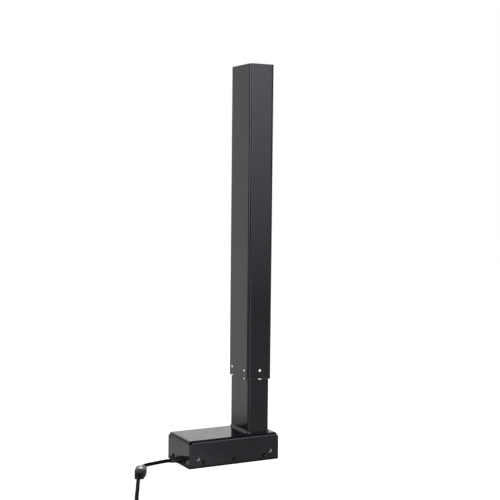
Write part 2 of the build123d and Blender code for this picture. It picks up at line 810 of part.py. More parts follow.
def gearbox_casting(low, high):
    """The housing between two heights, with its share of every pocket."""
    with BuildSketch(Plane.XY.offset(low)) as block:
        with Locations(((housing_left + housing_right) / 2, (housing_front + housing_back) / 2)):
            RectangleRounded(housing_right - housing_left, housing_back - housing_front, casting_corner)
    extrude(block.sketch, amount=high - low)
    bore_up(wheel_room, wheel_low, wheel_high)
    bore_up(bearing_radius + seat_gap, lower_bearing_low, upper_bearing_high)
    bore_up(circlip_radius + casting_gap, journal_low - journal_foot / 2, lower_bearing_low)
    bore_up(spindle_radius + casting_gap, upper_bearing_high, box_ceiling)
    bore_along(worm_crest + casting_gap, -worm_half_room, worm_half_room)
    bore_along(pilot_radius + seat_gap, housing_left, -worm_half_room)
    bore_along(bush_radius + seat_gap, worm_half_room, worm_half_room + bush_length)
    bore_along(shaft_radius + casting_gap, worm_half_room + bush_length, shaft_right + casting_gap)
    for x, y in gearbox_screw_spots:
        bore_up(gearbox_hole, housing_low, box_ceiling, x, y)
    for y, height in motor_bolt_spots:
        bore_along(motor_bolt_radius + seat_gap, housing_left, housing_left + motor_bolt_depth, y, height)


with BuildPart() as gearbox_housing:
    gearbox_casting(drive_height, box_ceiling)
gearbox_housing.part.label = "gearbox_housing"
export_step(gearbox_housing.part, "parts/gearbox_housing.step")

with BuildPart() as gearbox_cover:
    gearbox_casting(housing_low, drive_height)
gearbox_cover.part.label = "gearbox_cover"
export_step(gearbox_cover.part, "parts/gearbox_cover.step")

with BuildPart() as gearbox_screws:
    for x, y in gearbox_screw_spots:
        seat = Plane(origin=(x, y, housing_low), x_dir=(1, 0, 0), z_dir=(0, 0, -1))
        reach = box_height - housing_low
        socket_screw(seat, gearbox_head_radius, gearbox_head_height, gearbox_screw_radius, reach)
gearbox_screws.part.label = "gearbox_screws"
export_step(gearbox_screws.part, "parts/gearbox_screws.step")

with BuildPart() as wheel_key:
    with BuildSketch(Plane.XY.offset(drive_height - wheel_face / 2)):
        with Locations((0, journal_radius)):
            Rectangle(key_width, 2 * key_depth)
    extrude(amount=wheel_face)
wheel_key.part.label = "wheel_key"
export_step(wheel_key.part, "parts/wheel_key.step")

bush_places = {"worm_end_bush": worm_half_room, "motor_front_bush": can_front, "motor_rear_bush": boss_rear}
for name, left in bush_places.items():
    with BuildPart() as bush:
        with BuildSketch(Plane.YZ.offset(left)):
            with Locations((worm_y, drive_height)):
                Circle(bush_radius)
                Circle(shaft_radius + running_gap, mode=Mode.SUBTRACT)
        extrude(amount=bush_length)
    bush.part.label = name
    export_step(bush.part, f"parts/{name}.step")


# Motor: everything about the worm's axis, from the gearbox to the box's left end

def motor_disc(station, radius, length, bore=0):
    """Add a round length about the motor's axis that starts at an x and runs to its right."""
    with BuildSketch(Plane.YZ.offset(station)) as disc:
        with Locations((worm_y, drive_height)):
            Circle(radius)
            if bore:
                Circle(bore, mode=Mode.SUBTRACT)
    extrude(disc.sketch, amount=length)


with BuildPart() as motor_front_plate:
    motor_disc(can_front, motor_radius, front_plate_thickness)
    motor_disc(can_front, pilot_radius, front_plate_thickness + motor_side_wall - casting_gap)
    bore_along(bush_radius + seat_gap, can_front, can_front + bush_length)
    bore_along(shaft_radius + casting_gap, can_front, -worm_half_room)
    for y, height in motor_bolt_spots:
        bore_along(motor_bolt_radius + seat_gap, can_front, housing_left, y, height)
motor_front_plate.part.label = "motor_front_plate"
export_step(motor_front_plate.part, "parts/motor_front_plate.step")

with BuildPart() as motor_can:
    motor_disc(can_rear, motor_radius, can_length, can_bore)
motor_can.part.label = "motor_can"
export_step(motor_can.part, "parts/motor_can.step")

post_rise = board_depth / 2 - post_inset
post_spots = [(worm_y + side * post_pitch / 2, drive_height + side * post_rise) for side in (-1, 1)]
with BuildPart() as motor_end_cap:
    motor_disc(cap_rear, motor_radius, end_cap_thickness)
    motor_disc(boss_rear, end_boss_radius, bush_length)
    bore_along(bush_radius + seat_gap, boss_rear, can_rear)
    with BuildSketch(Plane.YZ.offset(cap_rear)):
        with Locations(*post_spots):
            Circle(post_radius)
    extrude(amount=-post_length)
    for y, height in motor_bolt_spots:
        bore_along(motor_bolt_radius + seat_gap, cap_rear, can_rear, y, height)
motor_end_cap.part.label = "motor_end_cap"
export_step(motor_end_cap.part, "parts/motor_end_cap.step")

with BuildPart() as motor_bolts:
    for y, height in motor_bolt_spots:
        seat = Plane(origin=(cap_rear, y, height), x_dir=(0, 1, 0), z_dir=(-1, 0, 0))
        reach = housing_left - cap_rear + motor_bolt_depth - end_gap
        socket_screw(seat, motor_bolt_head, 2 * motor_bolt_radius, motor_bolt_radius, reach)
motor_bolts.part.label = "motor_bolts"
export_step(motor_bolts.part, "parts/motor_bolts.step")

# The magnets leave the two corners free that the long bolts pass through
with BuildPart() as motor_magnets:
    magnet_front = core_front + (magnet_length - core_length) / 2
    magnet_plane = Plane(origin=(magnet_front, worm_y, drive_height), x_dir=(0, 1, 0), z_dir=(1, 0, 0))
    for middle in magnet_middles:
        with BuildSketch(magnet_plane):
            with BuildLine():
                outer_arc = CenterArc((0, 0), magnet_outer, middle - magnet_span / 2, magnet_span)
                inner_arc = CenterArc((0, 0), magnet_inner, middle - magnet_span / 2, magnet_span)
                Line(outer_arc @ 0, inner_arc @ 0)
                Line(outer_arc @ 1, inner_arc @ 1)
            make_face()
        extrude(amount=-magnet_length)
motor_magnets.part.label = "motor_magnets"
export_step(motor_magnets.part, "parts/motor_magnets.step")

with BuildPart() as armature_core:
    with BuildSketch(Plane.YZ.offset(core_rear)):
        with Locations((worm_y, drive_height)):
            Circle(core_radius)
            Circle(shaft_radius + seat_gap, mode=Mode.SUBTRACT)
            with PolarLocations(core_radius - slot_depth / 2, core_slots):
                Rectangle(slot_depth, slot_width, mode=Mode.SUBTRACT)
    extrude(amount=core_length)
armature_core.part.label = "armature_core"
export_step(armature_core.part, "parts/armature_core.step")

with BuildPart() as armature_windings:
    winding_outer = core_radius - winding_inset
    winding_floor = core_radius - slot_depth + winding_gap
    motor_disc(core_front, winding_outer, end_turn_length, end_turn_inner)
    motor_disc(core_rear - end_turn_length, winding_outer, end_turn_length, end_turn_inner)
    with BuildSketch(Plane.YZ.offset(core_rear)):
        with Locations((worm_y, drive_height)):
            with PolarLocations((winding_outer + winding_floor) / 2, core_slots):
                Rectangle(winding_outer - winding_floor, slot_width - 2 * winding_gap)
    extrude(amount=core_length)
armature_windings.part.label = "armature_windings"
export_step(armature_windings.part, "parts/armature_windings.step")

with BuildPart() as commutator:
    commutator_rear = commutator_front - commutator_length
    motor_disc(commutator_rear, commutator_radius, commutator_length, shaft_radius + seat_gap)
    with BuildSketch(Plane.YZ.offset(commutator_front)):
        with Locations((worm_y, drive_height)):
            with PolarLocations(commutator_radius, core_slots):
                Rectangle(2 * segment_groove, segment_gap)
    extrude(amount=-commutator_length, mode=Mode.SUBTRACT)
commutator.part.label = "commutator"
export_step(commutator.part, "parts/commutator.step")

# Brush card on the end cap, with a guide for the brush on each side of the commutator
brush_middle = commutator_front - commutator_length / 2
brush_inner = commutator_radius + running_gap
card_face = can_rear + brush_card_thickness
guide_start = commutator_radius + brush_guide_wall
guide_reach = can_bore - brush_guide_end - guide_start
guide_height = brush_middle + brush_width / 2 + end_gap - card_face
with BuildPart() as brush_card:
    motor_disc(can_rear, can_bore - seat_gap, brush_card_thickness, commutator_radius + end_gap)
    for side in (-1, 1):
        with BuildSketch(Plane.YZ.offset(card_face)):
            with Locations((worm_y + side * (guide_start + guide_reach / 2), drive_height)):
                Rectangle(guide_reach, brush_width + 2 * brush_guide_wall)
        extrude(amount=guide_height)
        with BuildSketch(Plane.YZ.offset(brush_middle - brush_width / 2 - seat_gap)):
            with Locations((worm_y + side * (guide_start + guide_reach / 2), drive_height)):
                Rectangle(guide_reach + end_gap, brush_width + 2 * seat_gap)
        extrude(amount=brush_width + 2 * seat_gap, mode=Mode.SUBTRACT)
    for y, height in motor_bolt_spots:
        bore_along(motor_bolt_radius + seat_gap, can_rear, can_rear + brush_card_thickness, y, height)
brush_card.part.label = "brush_card"
export_step(brush_card.part, "parts/brush_card.step")

with BuildPart() as carbon_brushes:
    for side in (-1, 1):
        with BuildSketch(Plane.YZ.offset(brush_middle - brush_width / 2)):
            with Locations((worm_y + side * (brush_inner + brush_length / 2), drive_height)):
                Rectangle(brush_length, brush_width)
        extrude(amount=brush_width)
    bore_along(brush_inner, brush_middle - brush_width, brush_middle + brush_width)
carbon_brushes.part.label = "carbon_brushes"
export_step(carbon_brushes.part, "parts/carbon_brushes.step")

with BuildPart() as sensor_magnet:
    motor_disc(shaft_rear, sensor_magnet_radius, sensor_magnet_length, shaft_radius + seat_gap)
sensor_magnet.part.label = "sensor_magnet"
export_step(sensor_magnet.part, "parts/sensor_magnet.step")

# Sensor board on the end cap's posts, and the header that the lead's wires plug into
header_y = gland_y
header_height = drive_height - board_depth / 2 + header_size / 2
with BuildPart() as sensor_board:
    with BuildSketch(Plane.YZ.offset(board_front)):
        with Locations((worm_y, drive_height)):
            Rectangle(board_width, board_depth)
    extrude(amount=-board_thickness)
sensor_board.part.label = "sensor_board"
export_step(sensor_board.part, "parts/sensor_board.step")

with BuildPart() as board_header:
    with BuildSketch(Plane.YZ.offset(board_front - board_thickness)):
        with Locations((header_y, header_height)):
            Rectangle(header_size, header_size)
    extrude(amount=-header_length)
board_header.part.label = "board_header"
export_step(board_header.part, "parts/board_header.step")

with BuildPart() as motor_saddle:
    with BuildSketch(Plane.XY.offset(box_ceiling)):
        with Locations(((can_front + can_rear) / 2, worm_y)):
            Rectangle(saddle_length, saddle_width)
    extrude(amount=-saddle_depth)
    bore_along(motor_radius + seat_gap, can_rear, can_front)
motor_saddle.part.label = "motor_saddle"
export_step(motor_saddle.part, "parts/motor_saddle.step")


# Cable gland in the left end wall

def gland_disc(station, radius, length, bore=0):
    """Add a round length about the gland's axis that starts at an x and runs to its left."""
    with BuildSketch(Plane.YZ.offset(station)) as disc:
        with Locations((gland_y, gland_height)):
            Circle(radius)
            if bore:
                Circle(bore, mode=Mode.SUBTRACT)
    extrude(disc.sketch, amount=-length)


lead_bore = cord_radius + seat_gap
neck_end = -box_left + box_sheet + locknut_length + end_gap
with BuildPart() as cable_gland:
    with BuildSketch(Plane.YZ.offset(-box_left)):
        with Locations((gland_y, gland_height)):
            RegularPolygon(radius=gland_nut_radius, side_count=6)
    extrude(amount=-gland_nut_length)
    gland_disc(neck_end, neck_radius, neck_end + box_left)
    gland_disc(-box_left - gland_nut_length, gland_sleeve_radius, gland_straight)
    with BuildSketch(Plane.YZ.offset(-box_left - gland_nut_length - gland_straight)):
        with Locations((gland_y, gland_height)):
            Circle(gland_sleeve_radius)
    with BuildSketch(Plane.YZ.offset(gland_face)):
        with Locations((gland_y, gland_height)):
            Circle(gland_tip_radius)
    loft()
    bore_along(lead_bore, gland_face, neck_end, gland_y, gland_height)
cable_gland.part.label = "cable_gland"
export_step(cable_gland.part, "parts/cable_gland.step")

with BuildPart() as gland_locknut:
    with BuildSketch(Plane.YZ.offset(-box_left + box_sheet)):
        with Locations((gland_y, gland_height)):
            RegularPolygon(radius=gland_nut_radius, side_count=6)
            Circle(neck_radius + seat_gap, mode=Mode.SUBTRACT)
    extrude(amount=locknut_length)
gland_locknut.part.label = "gland_locknut"
export_step(gland_locknut.part, "parts/gland_locknut.step")

# The stretch of lead inside the gland, and the wires that leave its sheath
with BuildPart() as lead_inside:
    gland_disc(sheath_end, cord_radius, sheath_end - gland_face)
lead_inside.part.label = "lead_inside"
export_step(lead_inside.part, "parts/lead_inside.step")

wire_end = board_front - board_thickness - header_length
with BuildPart() as lead_wires:
    for side in (-1, 1):
        for rise in (-1, 1):
            start = (sheath_end, gland_y + side * wire_spread / 2, gland_height + rise * wire_spread / 2)
            finish = (wire_end, header_y + side * wire_spread, header_height + rise * wire_spread)
            near = (start[0] + (wire_end - sheath_end) * 0.3, start[1], start[2])
            far = (start[0] + (wire_end - sheath_end) * 0.7, finish[1], finish[2])
            with BuildLine() as way:
                FilletPolyline(start, near, far, finish, radius=2 * wire_radius)
            with BuildSketch(Plane(origin=start, x_dir=(0, 1, 0), z_dir=(1, 0, 0))) as section:
                Circle(wire_radius)
            sweep(section.sketch, path=way.wires()[0])
lead_wires.part.label = "lead_wires"
export_step(lead_wires.part, "parts/lead_wires.step")


# Leads on the floor

def arc_radius(before, corner, after):
    """Radius of the arc at a corner of a cord's route."""
    turn = radians((corner - before).get_angle(after - corner))
    return 0.45 * min((corner - before).length, (after - corner).length) / tan(turn / 2)


def cord_tube(name, route):
    """Write the tube along a route of points, straight runs joined by tangent arcs."""
    points = [Vector(*point) for point in route]
    radii = [arc_radius(*points[i:i + 3]) for i in range(len(points) - 2)]
    with BuildPart() as tube:
        with BuildLine() as path:
            FilletPolyline(*points, radius=radii)
        length = path.wires()[0].length
        with BuildSketch(Plane(origin=points[0], z_dir=points[1] - points[0])):
            Circle(cord_radius)
        sweep()
    tube.part.label = name
    export_step(tube.part, f"parts/{name}.step")
    section = pi * cord_radius ** 2
    print(name, "length", round(length, 1), "volume ratio", round(tube.part.volume / (section * length), 4))
    print(name, "radii", [round(radius, 1) for radius in radii])


# The lead leaves the gland, droops a little and turns to its connector on the floor
motor_lead_route = [
    (gland_face, gland_y, gland_height),
    (-183, -11, 9.2),
    (-198, -7, 6.6),
    (-214, -7, 5.6),
    (-226.5, -15.5, 6),
    (-233.3, -28.8, 6),
]
cord_tube("motor_lead", motor_lead_route)


# The two connectors lie flat, mated end to end, in line with the end of the lead
lead_end = Vector(*motor_lead_route[-1])
lead_way = (lead_end - Vector(*motor_lead_route[-2])).normalized()
lead_side = lead_way.cross(Vector(0, 0, 1))


def across_lead(reach):
    """Plane square to the connectors, at a distance from the end of the lead."""
    return Plane(origin=lead_end + lead_way * reach, x_dir=lead_side, z_dir=lead_way)


on_floor = Plane(origin=(lead_end.X, lead_end.Y, 0), x_dir=lead_way, z_dir=(0, 0, 1))
with BuildPart() as lead_connector:
    with BuildSketch(on_floor):
        shoulders = [
            (0, connector_neck / 2),
            (shoulder_length, connector_width / 2),
            (connector_length, connector_width / 2),
            (connector_length, -connector_width / 2),
            (shoulder_length, -connector_width / 2),
            (0, -connector_neck / 2),
        ]
        Polygon(*shoulders, align=None)
    extrude(amount=connector_thickness)
    fillet(lead_connector.faces().sort_by(Axis.Z)[-1].edges(), radius=connector_edge)
    with BuildSketch(on_floor.offset(connector_thickness)):
        with Locations((connector_length, 0)):
            with GridLocations(0, latch_width + latch_slot, 1, 2):
                Rectangle(2 * latch_length, latch_slot)
        with BuildLine():
            Polyline(
                (shoulder_length, 0),
                (shoulder_length + latch_width, latch_width / 2),
                (shoulder_length + latch_width, -latch_width / 2),
                close=True,
            )
        make_face()
    extrude(amount=-latch_slot, mode=Mode.SUBTRACT)
lead_connector.part.label = "lead_connector"
export_step(lead_connector.part, "parts/lead_connector.step")

extension_end = 2 * connector_length
grip_start = connector_length + collar_band
with BuildPart() as extension_connector:
    with BuildSketch(across_lead(connector_length)):
        RectangleRounded(connector_width, connector_thickness, connector_edge)
    extrude(amount=collar_band)
    with BuildSketch(across_lead(grip_start)):
        RectangleRounded(connector_width - 2 * grip_step, connector_thickness, connector_edge)
    with BuildSketch(across_lead(extension_end)):
        RectangleRounded(connector_neck, connector_neck, connector_edge)
    loft(ruled=True)
    for rib in range(grip_ribs):
        reach = grip_start + grip_rib * (2 * rib + 1)
        share = (reach - grip_start) / (extension_end - grip_start)
        width = connector_width - (connector_width - connector_neck) * share / 2
        with BuildSketch(across_lead(reach)):
            RectangleRounded(width, connector_thickness, connector_edge)
        extrude(amount=grip_rib)
extension_connector.part.label = "extension_connector"
export_step(extension_connector.part, "parts/extension_connector.step")

# The extension runs from its connector to the coil of its spare length
extension_start = lead_end + lead_way * extension_end
coil_height = tie_thickness + tie_gap + cord_radius
coil_entry = Vector(-340, -275, coil_height)
extension_route = [
    tuple(extension_start),
    tuple(extension_start + lead_way * 20),
    (-284, -136, 3.6),
    (-299, -170, 3.4),
    (-311.5, -200, 3.4),
    (-324, -232, 3.8),
    (-332.5, -256, coil_height),
    tuple(coil_entry),
]
cord_tube("extension_cable", extension_route)


# Coil of the spare length: two layers, spiralling in below and out again above

coil_pitch = 2 * cord_radius + coil_gap
layer_turns = coil_turns / 2
entry_way = (coil_entry - Vector(*extension_route[-2])).normalized()
entry_side = Vector(0, 0, 1).cross(entry_way)
coil_start = coil_entry + entry_way * 2 * cord_radius
coil_outer = coil_radius + coil_pitch * layer_turns / 2
coil_middle = coil_start + entry_side * coil_outer
start_turn = atan2(-entry_side.Y, -entry_side.X)
climb_turns = 0.5


def coil_point(turns):
    """Point of the coil's centre line after a number of turns."""
    from_reversal = sqrt((turns - layer_turns) ** 2 + 0.01)
    radius = coil_outer - coil_pitch * (layer_turns - from_reversal)
    angle = start_turn + 2 * pi * turns
    climb = min(1, max(0, (turns - layer_turns) / climb_turns + 0.5))
    rise = coil_pitch * climb ** 2 * (3 - 2 * climb)
    return coil_middle + Vector(radius * cos(angle), radius * sin(angle), rise)


def coil_way(turns):
    """Direction of the coil's centre line, square to its radius at both ends."""
    if turns in (0, coil_turns):
        return entry_way
    return (coil_point(turns + 0.01) - coil_point(turns - 0.01)).normalized()


def biarc(start, start_way, finish, finish_way):
    """Two arcs that join two points in the given directions."""
    gap = finish - start
    ways = start_way + finish_way
    a = ways.dot(ways) - 4
    b = -2 * gap.dot(ways)
    c = gap.dot(gap)
    reach = (-b - sqrt(b * b - 4 * a * c)) / (2 * a)
    start_knee = start + start_way * reach
    finish_knee = finish - finish_way * reach
    joint = (start_knee + finish_knee) / 2
    joint_way = (finish_knee - start_knee).normalized()
    TangentArc(start, joint, tangent=start_way)
    TangentArc(joint, finish, tangent=joint_way)


def least_gap(points, apart):
    """Least gap of a tube to itself, between points at least so many places apart."""
    least = 1e9
    for i, here in enumerate(points):
        for there in points[i + apart:]:
            least = min(least, (here - there).length)
    return least - 2 * cord_radius


quarters = [step / 4 for step in range(int(4 * coil_turns) + 1)]
coil_points = [coil_point(turns) for turns in quarters]
coil_points[0] = coil_start
coil_points[-1] = coil_start + Vector(0, 0, coil_pitch)
coil_finish = coil_points[-1] + entry_way * 2 * cord_radius
with BuildPart() as extension_coil:
    with BuildLine() as coil_path:
        Line(coil_entry, coil_start)
        for near, far, near_turns, far_turns in zip(coil_points, coil_points[1:], quarters, quarters[1:]):
            biarc(near, coil_way(near_turns), far, coil_way(far_turns))
        Line(coil_points[-1], coil_finish)
    coil_wire = coil_path.wires()[0]
    with BuildSketch(Plane(origin=coil_entry, z_dir=entry_way)):
        Circle(cord_radius)
    sweep()
extension_coil.part.label = "extension_coil"
export_step(extension_coil.part, "parts/extension_coil.step")
coil_samples = [coil_wire @ (step / 600) for step in range(601)]
coil_ratio = extension_coil.part.volume / (pi * cord_radius ** 2 * coil_wire.length)
print("extension_coil length", round(coil_wire.length, 1), "volume ratio", round(coil_ratio, 4))
print("extension_coil least gap to itself", round(least_gap(coil_samples, 40), 2))

# The tie lies round all the loops, half a turn from where the cord comes in
tie_side = Vector(entry_side.X, entry_side.Y, 0)
tie_room = 2 * (2 * cord_radius + tie_gap) + coil_gap
with BuildPart() as coil_tie:
    tie_middle = Vector(coil_middle.X, coil_middle.Y, coil_height + coil_pitch / 2) + tie_side * coil_radius
    tie_plane = Plane(origin=tie_middle, x_dir=tie_side, z_dir=entry_way)
    with BuildSketch(tie_plane.offset(-tie_width / 2)):
        RectangleRounded(tie_room + 2 * tie_thickness, tie_room + 2 * tie_thickness, cord_radius)
        RectangleRounded(tie_room, tie_room, cord_radius - tie_thickness, mode=Mode.SUBTRACT)
    extrude(amount=tie_width)
coil_tie.part.label = "coil_tie"
export_step(coil_tie.part, "parts/coil_tie.step")

# The last of the cord comes down from the upper layer to the plug that lies beside the coil
tail_route = [
    tuple(coil_finish),
    tuple(coil_finish + entry_way * 12),
    tuple(coil_finish + entry_way * 25 + Vector(0, 0, -2)),
    tuple(coil_finish + entry_way * 37 + Vector(0, 0, plug_height / 2 - coil_finish.Z)),
    tuple(coil_finish + entry_way * 48 + Vector(0, 0, plug_height / 2 - coil_finish.Z)),
]
cord_tube("extension_tail", tail_route)

plug_start = Vector(*tail_route[-1])


def across_tail(reach):
    """Plane square to the plug, at a distance from the end of the cord."""
    return Plane(origin=plug_start + entry_way * reach, x_dir=entry_side, z_dir=entry_way)


with BuildPart() as extension_plug:
    with BuildSketch(across_tail(0)):
        RectangleRounded(plug_width - 2 * plug_neck_inset, plug_height - 2 * plug_neck_inset, connector_edge)
    extrude(amount=plug_neck_length)
    with BuildSketch(across_tail(plug_neck_length)):
        RectangleRounded(plug_width, plug_height, connector_edge)
    extrude(amount=plug_case_length - plug_neck_length)
    with BuildSketch(across_tail(plug_case_length)):
        with GridLocations(pin_pitch, pin_pitch, 2, 3):
            Rectangle(pin_pocket, pin_pocket)
    extrude(amount=-pin_pocket_depth, mode=Mode.SUBTRACT)
extension_plug.part.label = "extension_plug"
export_step(extension_plug.part, "parts/extension_plug.step")
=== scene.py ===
import math

import bmesh
import bpy
from mathutils import Matrix, Vector, noise


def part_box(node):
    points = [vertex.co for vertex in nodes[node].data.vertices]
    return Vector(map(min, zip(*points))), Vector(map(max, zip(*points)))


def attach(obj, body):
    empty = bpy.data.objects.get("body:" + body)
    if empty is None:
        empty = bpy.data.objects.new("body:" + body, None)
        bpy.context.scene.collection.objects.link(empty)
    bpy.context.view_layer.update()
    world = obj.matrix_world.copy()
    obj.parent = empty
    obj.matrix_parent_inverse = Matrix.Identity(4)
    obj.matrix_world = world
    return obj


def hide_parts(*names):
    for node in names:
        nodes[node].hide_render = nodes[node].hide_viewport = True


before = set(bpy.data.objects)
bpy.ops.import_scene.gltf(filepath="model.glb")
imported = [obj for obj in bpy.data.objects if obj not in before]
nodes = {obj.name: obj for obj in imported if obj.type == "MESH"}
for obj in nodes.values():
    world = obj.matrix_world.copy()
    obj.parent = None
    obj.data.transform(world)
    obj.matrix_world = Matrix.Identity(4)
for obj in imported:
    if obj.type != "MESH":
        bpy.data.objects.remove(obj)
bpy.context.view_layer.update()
scene = bpy.context.scene


# Camera

CAMERA_PLACE = Vector((-0.951967, -1.804061, 0.513950))
FOCAL_PX, FRAME_PX, SENSOR_MM = 1072.721, 500, 36
YAW, PITCH, ROLL = (math.radians(a) for a in (27.76603, 3.35927, 0.562645))
NEAR_CLIP, FAR_CLIP = 0.05, 60

forward = Vector((math.sin(YAW) * math.cos(PITCH), math.cos(YAW) * math.cos(PITCH), -math.sin(PITCH)))
level = Vector((math.cos(YAW), -math.sin(YAW), 0))
upright = level.cross(forward)
across = level * math.cos(ROLL) + upright * math.sin(ROLL)
above = upright * math.cos(ROLL) - level * math.sin(ROLL)

camera_data = bpy.data.cameras.new("camera")
camera_data.sensor_width = SENSOR_MM
camera_data.lens = FOCAL_PX / FRAME_PX * SENSOR_MM
camera_data.clip_start, camera_data.clip_end = NEAR_CLIP, FAR_CLIP
camera = bpy.data.objects.new("camera", camera_data)
facing = Matrix((across, above, -forward)).transposed().to_4x4()
camera.matrix_world = Matrix.Translation(CAMERA_PLACE) @ facing
scene.collection.objects.link(camera)
scene.camera = camera
scene.view_settings.view_transform = "Standard"


# Nodes of materials and stage

def feed(tree, socket, value):
    """Give a socket a plain value, or link an output to it."""
    if isinstance(value, bpy.types.NodeSocket):
        tree.links.new(value, socket)
    elif isinstance(value, tuple) and len(value) == 3 and socket.type == "RGBA":
        socket.default_value = (*value, 1)
    else:
        socket.default_value = value


def add_node(tree, kind, inputs=None, **settings):
    """A node with these settings, whose inputs are then fed by name or number."""
    node = tree.nodes.new(kind)
    for key, value in settings.items():
        setattr(node, key, value)
    for key, value in (inputs or {}).items():
        feed(tree, node.inputs[key], value)
    return node


def combine(tree, operation, a, b):
    return add_node(tree, "ShaderNodeMath", {0: a, 1: b}, operation=operation).outputs[0]


def dotted(tree, place, way):
    """How far a place lies along a direction."""
    inputs = {0: place, 1: way}
    return add_node(tree, "ShaderNodeVectorMath", inputs, operation="DOT_PRODUCT").outputs["Value"]


def mixed(tree, kind, share, a, b):
    """From a to b as the share goes from 0 to 1."""
    inputs = {"Factor": share, "A": a, "B": b}
    return add_node(tree, "ShaderNodeMix", inputs, data_type=kind).outputs["Result"]


def ranged(tree, value, low_in, high_in, low_out, high_out, interpolation="LINEAR"):
    """From low_out to high_out as the value goes from low_in to high_in."""
    inputs = {"Value": value, "From Min": low_in, "From Max": high_in,
              "To Min": low_out, "To Max": high_out}
    return add_node(tree, "ShaderNodeMapRange", inputs, interpolation_type=interpolation).outputs["Result"]


# Material kit

PLAIN_IOR = 1.5
ALONG_LINES, ACROSS_LINES = 40, 2600


class Look:
    """A procedural material: nodes are added to it one at a time, in the coordinates of the part."""

    def __init__(self, name, colour, roughness, metallic=0.0):
        self.material = bpy.data.materials.new(name)
        self.material.use_nodes = True
        self.tree = self.material.node_tree
        self.shader = next(n for n in self.tree.nodes if n.type == "BSDF_PRINCIPLED")
        self.put("Base Color", colour)
        self.put("Roughness", roughness)
        self.put("Metallic", metallic)
        self.put("IOR", PLAIN_IOR)
        self.place = add_node(self.tree, "ShaderNodeTexCoord").outputs["Object"]
        self.normal = None

    def put(self, name, value):
        feed(self.tree, self.shader.inputs[name], value)

    def moved(self, setting, value):
        """The part's coordinates with their scale or their origin changed."""
        inputs = {"Vector": self.place, setting: value}
        return add_node(self.tree, "ShaderNodeMapping", inputs).outputs["Vector"]

    def noise(self, scale, detail, where=None):
        inputs = {"Vector": where or self.place, "Scale": scale, "Detail": detail}
        return add_node(self.tree, "ShaderNodeTexNoise", inputs).outputs[0]

    def cells(self, scale, feature="F1", output="Distance"):
        inputs = {"Vector": self.place, "Scale": scale}
        return add_node(self.tree, "ShaderNodeTexVoronoi", inputs, feature=feature).outputs[output]

    def waves(self, scale, direction, kind="BANDS", where=None, distortion=0.0, detail=0.0):
        """Bands along an axis, or rings about one."""
        inputs = {"Vector": where or self.place, "Scale": scale, "Distortion": distortion, "Detail": detail}
        settings = {"wave_type": kind, kind.lower() + "_direction": direction}
        return add_node(self.tree, "ShaderNodeTexWave", inputs, **settings).outputs["Fac"]

    def mapped(self, value, low_in, high_in, low_out, high_out):
        return ranged(self.tree, value, low_in, high_in, low_out, high_out)

    def blend(self, share, a, b):
        return mixed(self.tree, "RGBA", share, a, b)

    def colours(self, fac, a, b, low=0.3, high=0.7):
        """Colour that goes from a to b as fac goes from low to high."""
        self.put("Base Color", self.blend(self.mapped(fac, low, high, 0, 1), a, b))

    def gloss(self, fac, smooth, rough, low=0.3, high=0.7):
        self.put("Roughness", self.mapped(fac, low, high, smooth, rough))

    def bump(self, fac, height):
        node = add_node(self.tree, "ShaderNodeBump", {"Height": fac, "Distance": height})
        if self.normal is not None:
            feed(self.tree, node.inputs["Normal"], self.normal)
        self.normal = node.outputs["Normal"]
        self.put("Normal", self.normal)


def toned(colour, level):
    return tuple(c * level for c in colour)


def paint(name, colour, smooth=0.13, rough=0.2):
    """Powder coat: faint cloudiness, long waves up the sheet and fine orange peel."""
    look = Look(name, colour, smooth)
    paler = tuple(c * 1.2 + 0.0008 for c in colour)
    look.colours(look.noise(scale=14, detail=4), colour, paler, low=0.35, high=0.75)
    look.put("Specular Tint", (0.9, 0.94, 1.0))
    look.gloss(look.noise(scale=60, detail=5), smooth, rough)
    look.bump(look.noise(scale=1, detail=2, where=look.moved("Scale", (110, 110, 3))), height=0.00002)
    look.bump(look.noise(scale=420, detail=2), height=0.000006)
    look.bump(look.noise(scale=2600, detail=1), height=0.0000015)
    return look.material


def brushed(name, colour, along, smooth=0.25, rough=0.4):
    """Drawn or turned metal with fine lines along one axis."""
    look = Look(name, colour, smooth, metallic=1.0)
    scale = tuple(ALONG_LINES if axis == along else ACROSS_LINES for axis in "XYZ")
    lines = look.noise(scale=1, detail=4, where=look.moved("Scale", scale))
    look.colours(look.noise(scale=30, detail=4), toned(colour, 0.8), colour)
    look.gloss(lines, smooth, rough)
    look.bump(lines, height=0.000008)
    return look.material


def turned(name, colour, axis, middle, smooth=0.2, rough=0.38):
    """Metal turned on a lathe: rings about an axis."""
    look = Look(name, colour, smooth, metallic=1.0)
    centred = look.moved("Location", toned(middle, -1))
    rings = look.waves(scale=900, direction=axis, kind="RINGS", where=centred, distortion=2.0, detail=2)
    look.colours(look.noise(scale=45, detail=4), toned(colour, 0.78), colour)
    look.gloss(rings, smooth, rough, low=0, high=1)
    look.bump(rings, height=0.000006)
    return look.material


def cast(name, colour):
    """Die casting: matt skin, soft flow marks and fine grit."""
    look = Look(name, colour, 0.45, metallic=1.0)
    look.colours(look.noise(scale=22, detail=5), toned(colour, 0.72), colour)
    look.gloss(look.noise(scale=160, detail=3), smooth=0.38, rough=0.58)
    look.bump(look.noise(scale=1200, detail=3), height=0.00004)
    return look.material


def moulded(name, colour, smooth=0.35, rough=0.5, grain=1800, height=0.00001, shade=0.82):
    """Moulded plastic: even colour, fine grain and a slight change of gloss."""
    look = Look(name, colour, smooth)
    look.colours(look.noise(scale=35, detail=4), toned(colour, shade), colour)
    look.gloss(look.noise(scale=90, detail=3), smooth, rough)
    look.bump(look.noise(scale=grain, detail=2), height)
    return look.material


